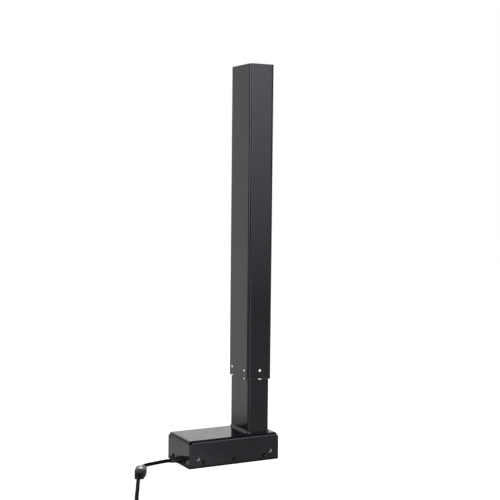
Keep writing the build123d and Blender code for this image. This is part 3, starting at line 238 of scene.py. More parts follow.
def zinc(name, colour):
    """Bright zinc: a faint crystal pattern under an uneven gloss."""
    look = Look(name, colour, 0.3, metallic=1.0)
    look.colours(look.cells(scale=260, output="Color"), toned(colour, 0.82), colour, low=0.2, high=0.8)
    look.gloss(look.noise(scale=120, detail=3), smooth=0.22, rough=0.4)
    look.bump(look.noise(scale=1500, detail=2), height=0.000008)
    return look.material


def winding(name, colour):
    """Enamelled wire: strands that lie beside each other across the coil's ends."""
    look = Look(name, colour, 0.28, metallic=0.85)
    strands = look.waves(scale=420, direction="DIAGONAL", distortion=1.5, detail=1)
    look.colours(strands, toned(colour, 0.35), colour, low=0.1, high=0.7)
    look.gloss(look.noise(scale=80, detail=3), smooth=0.22, rough=0.4)
    look.bump(strands, height=0.0002)
    return look.material


def circuit(name, colour):
    """Circuit board: solder mask with the glass weave and darker tracks under it."""
    look = Look(name, colour, 0.3)
    tracks = look.cells(scale=170, feature="DISTANCE_TO_EDGE")
    look.colours(tracks, tuple(c * 0.5 + 0.01 for c in colour), colour, low=0.05, high=0.12)
    weave = combine(look.tree, "MULTIPLY", look.waves(scale=700, direction="Y"),
                    look.waves(scale=700, direction="Z"))
    look.gloss(weave, smooth=0.22, rough=0.36, low=0, high=1)
    look.bump(weave, height=0.00001)
    return look.material


def sheath(name, colour):
    """Extruded cable sheath: matt, with a fine grain and rubbed patches."""
    look = Look(name, colour, 0.6)
    look.put("Specular IOR Level", 0.02)
    look.colours(look.noise(scale=70, detail=4), toned(colour, 0.7), toned(colour, 1.25))
    look.gloss(look.noise(scale=55, detail=3), smooth=0.5, rough=0.68)
    look.bump(look.noise(scale=2200, detail=3), height=0.000015)
    return look.material


def grip(name, colour, band_colour, start, way, band):
    """Moulded plastic with a paler band between two distances along a line."""
    look = Look(name, colour, 0.5)
    look.put("Specular IOR Level", 0.2)
    along = dotted(look.tree, look.place, way)
    first = Vector(start).dot(Vector(way))
    inside = combine(look.tree, "MULTIPLY", combine(look.tree, "GREATER_THAN", along, first + band[0]),
                     combine(look.tree, "LESS_THAN", along, first + band[1]))
    cloud = look.mapped(look.noise(scale=35, detail=4), 0.3, 0.7, 0, 1)
    dark = look.blend(cloud, toned(colour, 0.75), colour)
    pale = look.blend(cloud, toned(band_colour, 0.85), band_colour)
    look.put("Base Color", look.blend(inside, dark, pale))
    look.gloss(look.noise(scale=90, detail=3), smooth=0.45, rough=0.6)
    look.bump(look.noise(scale=1400, detail=2), height=0.000015)
    return look.material


# Where the motor's lead ends, the way on from there, and the axes of turned parts
LEAD_END = (-0.2333, -0.0288, 0.006)
LEAD_WAY = (-0.455229, -0.890374, 0)
CONNECTOR_LENGTH, COLLAR_BAND, BAND_OVERLAP = 0.025, 0.003, 0.0001
SPINDLE_AXIS, MOTOR_AXIS = (0, 0, 0), (0, -0.021, 0.0245)
BLACK = (0.0040, 0.0043, 0.0052)
looks = {
    "grey_paint": paint("powder_coat", BLACK),
    # Painted sheen: the welds' paint is many times lighter than the tube's near-black coat, for the light
    # that the beads catch
    "weld_paint_and_sheen": paint("painted_weld_sheen", (0.052, 0.053, 0.058), 0.16, 0.3),
    "hole_shadow": moulded("hole_shadow", (0.0015, 0.0015, 0.0015), 0.7, 0.85, grain=900),
    "black_screw": brushed("black_oxide", (0.005, 0.005, 0.0052), "Z", 0.35, 0.5),
    # Painted shade: the side nuts are coloured near black so that their threaded bores look dark in the
    # box's holes
    "nut_painted_shade": brushed("nut_painted_shade", (0.008, 0.008, 0.0085), "Y", 0.45, 0.6),
    "zinc_steel": zinc("bright_zinc", (0.60, 0.61, 0.62)),
    "bare_steel": brushed("bare_steel", (0.46, 0.46, 0.47), "Z"),
    "ring_steel": turned("ground_steel", (0.50, 0.50, 0.51), "Z", SPINDLE_AXIS),
    "shaft_steel": turned("shaft_steel", (0.46, 0.46, 0.47), "X", MOTOR_AXIS),
    "white_acetal": moulded("white_acetal", (0.86, 0.86, 0.84), 0.3, 0.42, shade=0.95),
    "black_acetal": moulded("black_acetal", (0.018, 0.018, 0.019), 0.3, 0.42),
    "die_casting": cast("die_casting", (0.50, 0.50, 0.51)),
    "sleeve_bronze": turned("sleeve_bronze", (0.50, 0.31, 0.13), "X", MOTOR_AXIS, 0.3, 0.45),
    "copper": turned("copper", (0.66, 0.27, 0.13), "X", MOTOR_AXIS, 0.2, 0.35),
    "enamelled_copper": winding("enamelled_copper", (0.60, 0.21, 0.08)),
    "ferrite": moulded("ferrite", (0.035, 0.035, 0.038), 0.5, 0.68, grain=700, height=0.00004, shade=0.7),
    "carbon": moulded("carbon", (0.02, 0.02, 0.02), 0.4, 0.6, grain=1500, height=0.00002, shade=0.7),
    "circuit_board": circuit("circuit_board", (0.012, 0.085, 0.03)),
    "white_plastic": moulded("white_plastic", (0.68, 0.68, 0.63), shade=0.94),
    "rubber_pad": moulded("rubber_pad", (0.02, 0.02, 0.02), 0.6, 0.75, grain=500, height=0.00006,
                          shade=0.75),
    "black_nylon": moulded("black_nylon", (0.006, 0.006, 0.0065), 0.45, 0.6, grain=1100, height=0.00002),
    "cable_sheath": sheath("cable_sheath", (0.0045, 0.0045, 0.005)),
    # Painted highlight: a pale matt white for the zinc sleeves in place of their bright reflection
    "sleeve_painted_highlight": moulded("zinc_painted_highlight", (0.84, 0.84, 0.85), grain=1200),
    "wire_sleeve": moulded("wire_sleeve", (0.32, 0.012, 0.01)),
    "connector_plastic": moulded("connector_plastic", (0.011, 0.011, 0.012), 0.45, 0.6, grain=1400,
                                 height=0.000015),
    "banded_grip": grip("banded_grip", (0.010, 0.010, 0.011), (0.075, 0.076, 0.08), LEAD_END, LEAD_WAY,
                        (CONNECTOR_LENGTH - BAND_OVERLAP, CONNECTOR_LENGTH + COLLAR_BAND)),
    # Painted sheen: the lead's connector is black plastic, coloured mid grey for the light on its top
    "connector_painted_sheen": moulded("connector_painted_sheen", (0.13, 0.13, 0.136), grain=1400, height=0.000015),
}

finishes = {
    "grey_paint": ["box_shell", "bottom_cover", "inner_tube", "outer_tube", "tube_welds", "end_plate"],
    "black_screw": ["cover_screws", "column_bolt", "gearbox_screws", "guide_screw"],
    # The side nuts' near-black colour is painted shade in their bores
    "nut_painted_shade": ["side_nuts"],
    "zinc_steel": ["nut_tube", "motor_can", "motor_front_plate", "motor_end_cap", "motor_bolts"],
    "bare_steel": ["spindle", "nut_pins", "wheel_key", "armature_core"],
    "ring_steel": ["spindle_circlip", "lower_bearing_inner_ring", "lower_bearing_outer_ring",
                   "lower_bearing_balls", "upper_bearing_inner_ring", "upper_bearing_outer_ring",
                   "upper_bearing_balls"],
    "shaft_steel": ["worm_shaft"],
    "white_acetal": ["lower_glides", "upper_glide_collar", "spindle_nut", "worm_wheel"],
    "black_acetal": ["nut_tube_plug", "spindle_guide", "brush_card"],
    "die_casting": ["gearbox_housing", "gearbox_cover"],
    "sleeve_bronze": ["worm_end_bush", "motor_front_bush", "motor_rear_bush"],
    "copper": ["commutator"],
    "enamelled_copper": ["armature_windings"],
    "ferrite": ["motor_magnets", "sensor_magnet"],
    "carbon": ["carbon_brushes"],
    "circuit_board": ["sensor_board"],
    "white_plastic": ["board_header"],
    "rubber_pad": ["motor_saddle"],
    "black_nylon": ["cable_gland", "gland_locknut"],
    "cable_sheath": ["motor_lead", "extension_cable", "extension_coil", "extension_tail", "lead_inside"],
    "wire_sleeve": ["lead_wires"],
    "connector_plastic": ["extension_plug"],
    "banded_grip": ["extension_connector"],
}
for finish, names in finishes.items():
    for name in names:
        mesh = nodes[name].data
        mesh.materials.clear()
        mesh.materials.append(looks[finish])


# Shape kit

def piece(name, data, look, body="base"):
    """A new piece of the object, in the part's frame, with its material and its body."""
    thing = bpy.data.objects.new(name, data)
    scene.collection.objects.link(thing)
    thing.data.materials.append(looks[look])
    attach(thing, body)
    return thing


def mesh_from(name, build, smooth=False):
    """A mesh that a function fills as a bmesh."""
    shape = bmesh.new()
    build(shape)
    bmesh.ops.recalc_face_normals(shape, faces=shape.faces)
    mesh = bpy.data.meshes.new(name)
    shape.to_mesh(mesh)
    shape.free()
    for face in mesh.polygons:
        face.use_smooth = smooth
    return mesh


def skin(shape, rings, hoop=False):
    """Closed surface through rings of equally many points, with ends closed or joined in a hoop."""
    loops = [[shape.verts.new(point) for point in ring] for ring in rings]
    for near, far in zip(loops, loops[1:] + loops[:1] if hoop else loops[1:]):
        for i in range(len(near)):
            j = (i + 1) % len(near)
            shape.faces.new((near[i], near[j], far[j], far[i]))
    if not hoop:
        shape.faces.new(loops[0])
        shape.faces.new(list(reversed(loops[-1])))


def revolved(shape, profile, place, sides=48):
    """A closed profile of (radius, height) turned about the z axis of a place."""
    skin(shape, [[place @ Vector((r * math.cos(turn), r * math.sin(turn), h)) for r, h in profile]
                 for turn in (2 * math.pi * side / sides for side in range(sides))], hoop=True)


def rounded(half_x, half_y, corner, share):
    """Point and outward direction at a share of the way round a rounded rectangle."""
    arc = math.pi / 2 * corner
    sides = (2 * (half_y - corner), 2 * (half_x - corner)) * 2
    way = share * (sum(sides) + 4 * arc)
    for quarter, run in enumerate(sides):
        turn = math.pi / 2 * quarter
        middle = Vector(((1, -1, -1, 1)[quarter] * (half_x - corner),
                         (1, 1, -1, -1)[quarter] * (half_y - corner)))
        if way <= run:
            out = Vector((math.cos(turn), math.sin(turn)))
            return middle + out * corner - Vector((-out.y, out.x)) * (run - way), out
        way -= run
        if way <= arc:
            turn += way / corner
            out = Vector((math.cos(turn), math.sin(turn)))
            return middle + out * corner, out
        way -= arc
    return rounded(half_x, half_y, corner, 0)


def trim_ring(station, height, profile):
    """A profile of (outward, up) at one point of a tube's outline."""
    spot, out = station
    return [Vector((*(spot + out * proud), height + high)) for proud, high in profile]


def trim_hoop(name, half_x, half_y, corner, height, profile, stations):
    """A mesh that carries a profile all the way round a tube's outline."""
    def build(shape):
        skin(shape, [trim_ring(rounded(half_x, half_y, corner, step / stations), height, profile)
                     for step in range(stations)], hoop=True)

    return mesh_from(name, build)


def facing_out(x, y, z, way):
    """Place whose z axis points along a level direction."""
    return Matrix.Translation((x, y, z)) @ Vector((*way, 0)).to_track_quat("Z", "Y").to_matrix().to_4x4()


# Cords

CORD_RADIUS = 0.0033


def cord_piece(name, points):
    """A round cord whose line is one smooth spline with these control points."""
    curve = bpy.data.curves.new(name, "CURVE")
    curve.dimensions = "3D"
    spline = curve.splines.new("NURBS")
    spline.points.add(len(points) - 1)
    for control, point in zip(spline.points, points):
        control.co = (*point, 1)
    spline.order_u = 3
    spline.use_endpoint_u = True
    spline.resolution_u = 12
    curve.bevel_depth = CORD_RADIUS
    curve.bevel_resolution = 6
    curve.use_fill_caps = True
    return piece(name, curve, "cable_sheath")


lead_route = [
    (-0.170, -0.011, 0.0092),
    (-0.183, -0.011, 0.0092),
    (-0.198, -0.007, 0.0066),
    (-0.214, -0.007, 0.0056),
    (-0.2265, -0.0155, 0.006),
    LEAD_END,
]
lead = cord_piece("lead_cord", lead_route)
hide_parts("motor_lead")

extension_route = [
    (-0.256061, -0.073319, 0.006),
    (-0.265166, -0.091126, 0.006),
    (-0.284, -0.136, 0.0036),
    (-0.299, -0.170, 0.0034),
    (-0.3115, -0.200, 0.0034),
    (-0.324, -0.232, 0.0038),
    (-0.3325, -0.256, 0.0047),
    (-0.340, -0.275, 0.0047),
]

# The coil lies in two layers: it spirals in below, climbs at its narrowest and spirals out above
COIL_TURNS, LAYER_TURNS, CLIMB_TURNS, REVERSAL_SOFTNESS = 4, 2, 0.5, 0.01
COIL_PITCH, COIL_OUTER = 0.0072, 0.0432
POINTS_PER_TURN = 24
coil_way = Vector((-0.367166, -0.930155, 0))
coil_side = Vector((0.930155, -0.367166, 0))
coil_start = Vector(extension_route[-1]) + coil_way * 2 * CORD_RADIUS
coil_middle = coil_start + coil_side * COIL_OUTER
start_angle = math.atan2(-coil_side.y, -coil_side.x)


def coil_point(turns):
    from_reversal = math.sqrt((turns - LAYER_TURNS) ** 2 + REVERSAL_SOFTNESS)
    radius = COIL_OUTER - COIL_PITCH * (LAYER_TURNS - from_reversal)
    angle = start_angle + 2 * math.pi * turns
    climb = min(1, max(0, (turns - LAYER_TURNS) / CLIMB_TURNS + 0.5))
    rise = COIL_PITCH * climb ** 2 * (3 - 2 * climb)
    return coil_middle + Vector((radius * math.cos(angle), radius * math.sin(angle), rise))


coil_route = [coil_point(step / POINTS_PER_TURN) for step in range(1, COIL_TURNS * POINTS_PER_TURN)]
coil_top = coil_start + Vector((0, 0, COIL_PITCH))
coil_finish = coil_top + coil_way * 2 * CORD_RADIUS
PLUG_MIDDLE = 0.008
plug_drop = PLUG_MIDDLE - coil_finish.z
tail_steps = [(0, 0), (0.012, 0), (0.025, -0.002), (0.037, plug_drop), (0.048, plug_drop)]
tail_route = [coil_finish + coil_way * along + Vector((0, 0, rise)) for along, rise in tail_steps]
extension = cord_piece("extension_cord", [*extension_route, coil_start, *coil_route, coil_top, *tail_route])
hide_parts("extension_cable", "extension_coil", "extension_tail")


# The tie: a toothed strap round the coil's turns, its head outside and its end cut short
TIE_SIDE, TIE_ROOM, TIE_THICK, TIE_WIDTH = 0.036, 0.015, 0.0008, 0.006
TIE_CORNER, TIE_TOOTH, TIE_STATIONS, TIE_SEAT = 0.0029, 0.00012, 240, 0.6
STRAP = [(-0.5, 0.15), (-0.46, 0), (0.46, 0), (0.5, 0.15), (0.5, 0.75), (0.4, 0.85), (0.36, 1),
         (-0.36, 1), (-0.4, 0.85), (-0.5, 0.75)]
HEAD_HALF_X, HEAD_HALF_Y, HEAD_CORNER, HEAD_STATIONS = 0.0019, 0.0028, 0.0007, 40
HEAD_OUT, HEAD_LONG, HEAD_BEVEL, HEAD_DRAWN = 0.0017, 0.0038, 0.0003, 0.86
CUT_END = [(-0.0004, -0.0022), (-0.0004, 0.0022), (0.0004, 0.0022), (0.0004, -0.0022)]
CUT_OUT, CUT_STEPS = 0.0018, [(-0.0006, 0.0025, 1), (0.001, 0.0058, 1), (0.0016, 0.0072, 0.7)]
tie_middle = coil_middle + coil_side * TIE_SIDE + Vector((0, 0, COIL_PITCH / 2))


def tie_place(side, rise, along):
    return tie_middle + coil_side * side + Vector((0, 0, rise)) + coil_way * along


def tie_shape(shape):
    rings = []
    for station in range(TIE_STATIONS):
        spot, out = rounded(TIE_ROOM / 2, TIE_ROOM / 2, TIE_CORNER, station / TIE_STATIONS)
        tooth = TIE_TOOTH if station % 2 else 0
        ring = []
        for along, lift in STRAP:
            point = spot + out * (TIE_THICK * lift - (tooth if lift == 1 else 0))
            ring.append(tie_place(point.x, point.y, along * TIE_WIDTH))
        rings.append(ring)
    skin(shape, rings, hoop=True)
    start = TIE_ROOM / 2 + TIE_THICK * TIE_SEAT
    outline = [rounded(HEAD_HALF_X, HEAD_HALF_Y, HEAD_CORNER, step / HEAD_STATIONS)[0]
               for step in range(HEAD_STATIONS)]
    steps = ((-HEAD_LONG, HEAD_DRAWN), (-HEAD_LONG + HEAD_BEVEL, 1), (HEAD_LONG - HEAD_BEVEL, 1),
             (HEAD_LONG, HEAD_DRAWN))
    skin(shape, [[tie_place(start + HEAD_OUT + p.x * size, p.y * size, along) for p in outline]
                 for along, size in steps])
    skin(shape, [[tie_place(start + CUT_OUT + lean + x, rise, y * narrow) for x, y in CUT_END]
                 for lean, rise, narrow in CUT_STEPS])


tie = piece("coil_strap", mesh_from("coil_strap", tie_shape), "black_nylon")
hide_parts("coil_tie")

# The lead's connector: shouldered case, raised latch with a pale arrow, and near-black strips of painted
# shade for the gaps beside it
CASE_HIGH, CASE_CORNER, CASE_STATIONS, CASE_SINK = 0.012, 0.0015, 48, 0.0004
CASE_STEPS = [(0, 0.0048, 0.0054), (0.0007, 0.0059, 0.006), (0.006, 0.01, 0.006), (0.0245, 0.01, 0.006),
              (CONNECTOR_LENGTH, 0.0096, 0.0056)]
LATCH_START, LATCH_END, LATCH_HALF, LATCH_RISE = 0.0085, 0.0246, 0.0052, 0.0005
LATCH_NOSE, LATCH_TAPER, RAISED_BEVEL = 0.003, 0.002, 0.3
ARROW_START, ARROW_END, ARROW_HALF = 0.0115, 0.0235, 0.0043
ARROW_SINK, ARROW_RISE = 0.0002, 0.00025
GAP_SHADES = [((0.0145, 0.0053), (0.0178, 0.0085), (0.0215, 0.0085), (0.0182, 0.0053)),
        ((LATCH_START, 0.0053), (LATCH_START, 0.006), (LATCH_END, 0.006), (LATCH_END, 0.0053))]
GAP_RISE = 0.00005
lead_side = Vector((-LEAD_WAY[1], LEAD_WAY[0], 0))


def on_lead(along, side, high):
    return Vector((LEAD_END[0], LEAD_END[1], high)) + Vector(LEAD_WAY) * along + lead_side * side


def raised(shape, outline, low, high, middle, shrink):
    """A plate with this outline of (along, side), its upper edge drawn in a little."""
    rings = []
    for rise, size in ((low, 1), (high - (high - low) * RAISED_BEVEL, 1), (high, shrink)):
        rings.append([on_lead(middle + (along - middle) * size, side * size, rise)
                      for along, side in outline])
    skin(shape, rings)


def case_shape(shape):
    rings = []
    for along, half, high in CASE_STEPS:
        outline = [rounded(half, high, CASE_CORNER, step / CASE_STATIONS)[0]
                   for step in range(CASE_STATIONS)]
        rings.append([on_lead(along, p.x, CASE_HIGH / 2 + p.y) for p in outline])
    skin(shape, rings)
    shoulder = LATCH_START + LATCH_TAPER
    latch = [(LATCH_START, -LATCH_NOSE), (shoulder, -LATCH_HALF), (LATCH_END, -LATCH_HALF),
             (LATCH_END, LATCH_HALF), (shoulder, LATCH_HALF), (LATCH_START, LATCH_NOSE)]
    raised(shape, latch, CASE_HIGH - CASE_SINK, CASE_HIGH + LATCH_RISE, (LATCH_START + LATCH_END) / 2,
           shrink=0.94)


def arrow_shape(shape):
    outline = [(ARROW_START, 0), (ARROW_END, -ARROW_HALF), (ARROW_END, ARROW_HALF)]
    raised(shape, outline, CASE_HIGH + LATCH_RISE - ARROW_SINK, CASE_HIGH + LATCH_RISE + ARROW_RISE,
           (ARROW_START + 2 * ARROW_END) / 3, shrink=0.96)


def gap_shade_shape(shape):
    for side in (-1, 1):
        for outline in GAP_SHADES:
            raised(shape, [(along, side * reach) for along, reach in outline], CASE_HIGH - CASE_SINK,
                   CASE_HIGH + GAP_RISE, outline[0][0], shrink=1)


# The case is mid grey as painted sheen on black plastic
case = piece("lead_case", mesh_from("lead_case", case_shape), "connector_painted_sheen")
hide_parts("lead_connector")
arrow = piece("connector_arrow", mesh_from("connector_arrow", arrow_shape), "white_plastic")
# Painted shade: near-black strips where the gaps beside the latch lie in shade
gaps = piece("connector_gap_shade", mesh_from("connector_gap_shade", gap_shade_shape), "hole_shadow")


# Welds

WELD_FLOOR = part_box("box_shell")[1].z
WELD_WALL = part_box("inner_tube")[1].x
TUBE_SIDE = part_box("inner_tube")[1].y
BEAD_LEG, BEAD_HALF, BEAD_END, BEAD_ROOT = 0.0045, 0.032, 0.003, 0.0003
BEAD_STATIONS, BEAD_ARC, LEAST_TAPER = 280, 14, 0.02
FLAT_SHARE, ROUND_SHARE = 0.62, 0.38
RIPPLE_PITCH, RIPPLE_HEIGHT, RIPPLE_BOW, RIPPLE_CURVE = 0.0044, 0.0007, 0.0022, 0.7
WAVER, WAVER_SCALE, WAVER_SEED = 0.09, 260, 3.7
TACK_X, TACK_RADIUS, TACK_ROOT, TACK_HIGH = 0.0195, 0.003, 0.0002, 0.8
TACK_ROUGH, TACK_SCALE, TACK_SHIFT, TACK_RIDGE, RIDGE_SCALE = 0.16, 900, 500, 0.05, 5200


def bead_rings(side):
    """Fillet bead in the corner between a wall of the tube and the box, with crescent ripples."""
    rings = []
    for step in range(BEAD_STATIONS + 1):
        y = BEAD_HALF * (2 * step / BEAD_STATIONS - 1)
        inset = max(0.0, (abs(y) - BEAD_HALF + BEAD_END) / BEAD_END)
        taper = math.sqrt(max(LEAST_TAPER, 1 - inset ** 2))
        waver = 1 + WAVER * noise.noise((side, y * WAVER_SCALE, WAVER_SEED))
        ring = [Vector((side * (WELD_WALL - BEAD_ROOT), y, WELD_FLOOR - BEAD_ROOT))]
        for part in range(BEAD_ARC + 1):
            angle = math.pi / 2 * part / BEAD_ARC
            flat = 1 / (math.cos(angle) + math.sin(angle))
            reach = BEAD_LEG * taper * waver * (FLAT_SHARE * flat + ROUND_SHARE) - RIPPLE_HEIGHT
            bow = RIPPLE_BOW * math.sin(2 * angle)
            ripple = abs(math.sin(math.pi * (y - bow) / RIPPLE_PITCH)) ** RIPPLE_CURVE
            reach += RIPPLE_HEIGHT * ripple * taper
            ring.append(Vector((side * (WELD_WALL + reach * math.cos(angle)), y,
                                WELD_FLOOR + reach * math.sin(angle))))
        rings.append(ring)
    return rings


def tack(shape, x, y):
    """A small blob of weld in the corner of the tube."""
    made = bmesh.ops.create_icosphere(shape, subdivisions=4, radius=TACK_RADIUS)["verts"]
    for vert in made:
        rough = 1 + TACK_ROUGH * noise.noise(vert.co * TACK_SCALE + Vector((x, y, 0)) * TACK_SHIFT)
        ridge = 1 + TACK_RIDGE * math.sin(vert.co.x * RIDGE_SCALE)
        place = vert.co * rough * ridge
        high = max(WELD_FLOOR - TACK_ROOT, WELD_FLOOR + place.z * TACK_HIGH)
        vert.co = Vector((x + place.x, y + place.y, high))


def all_welds(shape):
    for side in (-1, 1):
        skin(shape, bead_rings(side))
    for x in (-1, 1):
        for y in (-1, 1):
            tack(shape, x * TACK_X, y * TUBE_SIDE)


# The beads and tacks take the lighter weld paint, whose lightness is painted sheen
welds = piece("weld_beads", mesh_from("weld_beads", all_welds, smooth=True), "weld_paint_and_sheen")
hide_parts("tube_welds")

# Painted shade: a near-black strip along the seam where the tube stands on the box, covered by the beads at
# its two wide sides
SEAM = [(-0.0002, -0.0002), (0.0003, -0.0002), (0.0003, 0.0009), (0.0001, 0.0012), (-0.0002, 0.0012)]
SEAM_CORNER = 0.004
seam_shade_mesh = trim_hoop("foot_seam_shade", WELD_WALL, TUBE_SIDE, SEAM_CORNER, WELD_FLOOR, SEAM, stations=160)
seam = piece("foot_seam_shade", seam_shade_mesh, "hole_shadow")


# Small fittings

# Sleeves of the side nuts, seen in the holes of the box's long walls, pale matt white as a painted
# highlight on their rims
BOX_LOW, BOX_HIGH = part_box("box_shell")
NUT_LOW, NUT_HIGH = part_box("side_nuts")
NUT_HEIGHT, NUT_OFFSETS = 0.017, (-0.1325, 0.0175)
SLEEVE = [(0.0029, 0), (0.0029, 0.0026), (0.00297, 0.00275), (0.00308, 0.00275), (0.00314, 0.0026),
          (0.00314, 0)]


def all_sleeves(shape):
    for x in NUT_OFFSETS:
        for y, way in ((NUT_LOW.y, (0, -1)), (NUT_HIGH.y, (0, 1))):
            revolved(shape, SLEEVE, facing_out(x, y, NUT_HEIGHT, way))


sleeves = piece("nut_sleeves", mesh_from("nut_sleeves", all_sleeves), "sleeve_painted_highlight")

# Worn edges in the hexagon sockets of the cover's screws
SCREW_HEIGHT, SIDE_SCREWS, END_SCREWS = 0.0095, (-0.1195, -0.0575, 0.0045), (-0.0295, 0.0215)
SCREW_PLACES = [(x, y, (0, way)) for x in SIDE_SCREWS for y, way in ((BOX_LOW.y, -1), (BOX_HIGH.y, 1))]
SCREW_PLACES += [(x, y, (way, 0)) for y in END_SCREWS for x, way in ((BOX_LOW.x, -1), (BOX_HIGH.x, 1))]
LINER = [(0.00168, 0.00074), (0.00168, 0.00177), (0.00186, 0.00179), (0.00188, 0.00074)]


def all_liners(shape):
    for x, y, way in SCREW_PLACES:
        revolved(shape, LINER, facing_out(x, y, SCREW_HEIGHT, way), sides=6)


liners = piece("socket_liners", mesh_from("socket_liners", all_liners), "zinc_steel")

# Painted shade: near-black rims round the glide pins, and near-black frames round the lips below them, for
# the gaps there
EDGE_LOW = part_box("outer_tube")[0].z
HALF_WIDTH, HALF_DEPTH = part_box("outer_tube")[1].x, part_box("outer_tube")[1].y
PIN_RISE, PIN_SPREAD = 0.017, 0.025
PIN_HEIGHT = EDGE_LOW + PIN_RISE
PIN_PLACES = [(side * HALF_WIDTH, y, (side, 0)) for side in (-1, 1) for y in (-PIN_SPREAD, PIN_SPREAD)]
PIN_PLACES += [(0, side * HALF_DEPTH, (0, side)) for side in (-1, 1)]
RIM_SHADE = [(0.00232, 0.00029), (0.00237, 0.00036), (0.0028, 0.00036), (0.0035, 0.0001), (0.0036, -0.00002),
       (0.00253, -0.00002), (0.00253, 0.00029)]
LIP_HALF, LIP_HEIGHT, LIP_COVER, LIP_FRAME = 0.0035, 0.002, 0.0003, 0.0007
FRAME_STEPS = [(-0.00002, 0), (0.00006, 0), (0.0001, 0.00006)]
NOTCH_DEPTH = 0.001


def all_shade_rims(shape):
    high = LIP_HEIGHT + LIP_FRAME
    for x, y, way in PIN_PLACES:
        revolved(shape, RIM_SHADE, facing_out(x, y, PIN_HEIGHT, way))
        foot = facing_out(x, y, PIN_HEIGHT - PIN_RISE, way)
        for left, right, low in ((-LIP_HALF - LIP_FRAME, -LIP_HALF + LIP_COVER, 0),
                                 (LIP_HALF - LIP_COVER, LIP_HALF + LIP_FRAME, 0),
                                 (-LIP_HALF - LIP_FRAME, LIP_HALF + LIP_FRAME, LIP_HEIGHT - LIP_COVER)):
            rings = []
            for depth, inset in FRAME_STEPS:
                rings.append([foot @ Vector((a, b, depth)) for a, b in (
                    (left + inset, low + inset), (right - inset, low + inset),
                    (right - inset, high - inset), (left + inset, high - inset))])
            skin(shape, rings)


rims = piece("pin_shade_rims", mesh_from("pin_shade_rims", all_shade_rims), "hole_shadow", "column")

# The thin roll of paint along the outer tube's lower edge, from lip to lip
EDGE_ROLL = [(-0.0002, 0), (0, 0.00002), (0.0004, 0.0006), (0.00026, 0.0013), (-0.0002, 0.0015)]
TUBE_CORNER, EDGE_STATIONS = 0.0055, 480


def in_lip(spot):
    """Whether a point of the outer tube's lower edge is in one of its notches."""
    for x, y, way in PIN_PLACES:
        off = Vector((x, y)) - spot
        if abs(off.dot(Vector(way))) < NOTCH_DEPTH and off.length < LIP_HALF + LIP_FRAME:
            return True
    return False


def edge_shape(shape):
    stations = [rounded(HALF_WIDTH, HALF_DEPTH, TUBE_CORNER, step / EDGE_STATIONS)
                for step in range(EDGE_STATIONS)]
    first = next(i for i, station in enumerate(stations) if in_lip(station[0]))
    run = []
    for station in stations[first:] + stations[:first + 1]:
        if not in_lip(station[0]):
            run.append(trim_ring(station, EDGE_LOW, EDGE_ROLL))
        elif run:
            skin(shape, run)
            run = []


edge = piece("tube_edge_roll", mesh_from("tube_edge_roll", edge_shape), "grey_paint", "column")

# The fine seam on top, where the end plate is let into the tube, drawn as a pale raised line in the welds'
# paint: a painted highlight along the seam
PLATE_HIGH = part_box("end_plate")[1]
PLATE_SEAM = [(-0.00014, -0.0001), (-0.00014, 0.00002), (0.00014, 0.00002), (0.00014, -0.0001)]
PLATE_CORNER = TUBE_CORNER - (HALF_WIDTH - PLATE_HIGH.x)
plate_mesh = trim_hoop("plate_seam", PLATE_HIGH.x, PLATE_HIGH.y, PLATE_CORNER, PLATE_HIGH.z, PLATE_SEAM,
                       stations=200)
plate_seam = piece("plate_seam", plate_mesh, "weld_paint_and_sheen", "column")


# Floor, background and light

def seen_rays(tree):
    """Whether a ray comes from the camera, and whether it is a camera, glossy or transmission ray."""
    path = add_node(tree, "ShaderNodeLightPath").outputs
    total = path["Is Camera Ray"]
    for name in ("Is Glossy Ray", "Is Transmission Ray"):
        total = combine(tree, "MAXIMUM", total, path[name])
    return path["Is Camera Ray"], total


def banded(tree, direction, stops):
    """Brightness that follows a list of (share of a turn, level) by the bearing of a direction."""
    turn = add_node(tree, "ShaderNodeTexGradient", {"Vector": direction}, gradient_type="RADIAL")
    node = add_node(tree, "ShaderNodeValToRGB", {"Fac": turn.outputs["Fac"]})
    elements = node.color_ramp.elements
    while len(elements) < len(stops):
        elements.new(0.5)
    for element, (place, value) in zip(elements, stops):
        element.position = place
        element.color = (value, value, value, 1)
    return node.outputs["Color"]


def faded(tree, value, low_in, high_in, low_out, high_out):
    return ranged(tree, value, low_in, high_in, low_out, high_out, interpolation="SMOOTHSTEP")


# The room as polished surfaces see it, by direction: left, the camera's side, right, the white
# backdrop, and left again. A turn starts and ends at -X and goes by -Y, +X and +Y.
ROOM = [(0.0, 0.5), (0.08, 0.5), (0.11, 0.05), (0.20, 0.05), (0.23, 0.12), (0.37, 0.12), (0.45, 0.5),
        (0.60, 0.5), (0.64, 0.02), (0.69, 0.02), (0.72, 1.1), (0.76, 1.1), (0.81, 0.82), (0.845, 0.78),
        (0.862, 0.05), (0.95, 0.05), (0.98, 0.5), (1.0, 0.5)]
ROOM_ABOVE = [(0.0, 0.25), (0.30, 0.25), (0.42, 0.08), (0.61, 0.02), (0.65, 1.26), (0.77, 1.26),
              (0.80, 0.03), (0.87, 0.03), (0.95, 0.25), (1.0, 0.25)]
ABOVE_START, ABOVE_FULL = 0.135, 0.185
BACKDROP_TOP, CEILING_START, CEILING = 0.42, 0.75, 0.05
AMBIENT, WHITE = 0.55, (1, 1, 1)


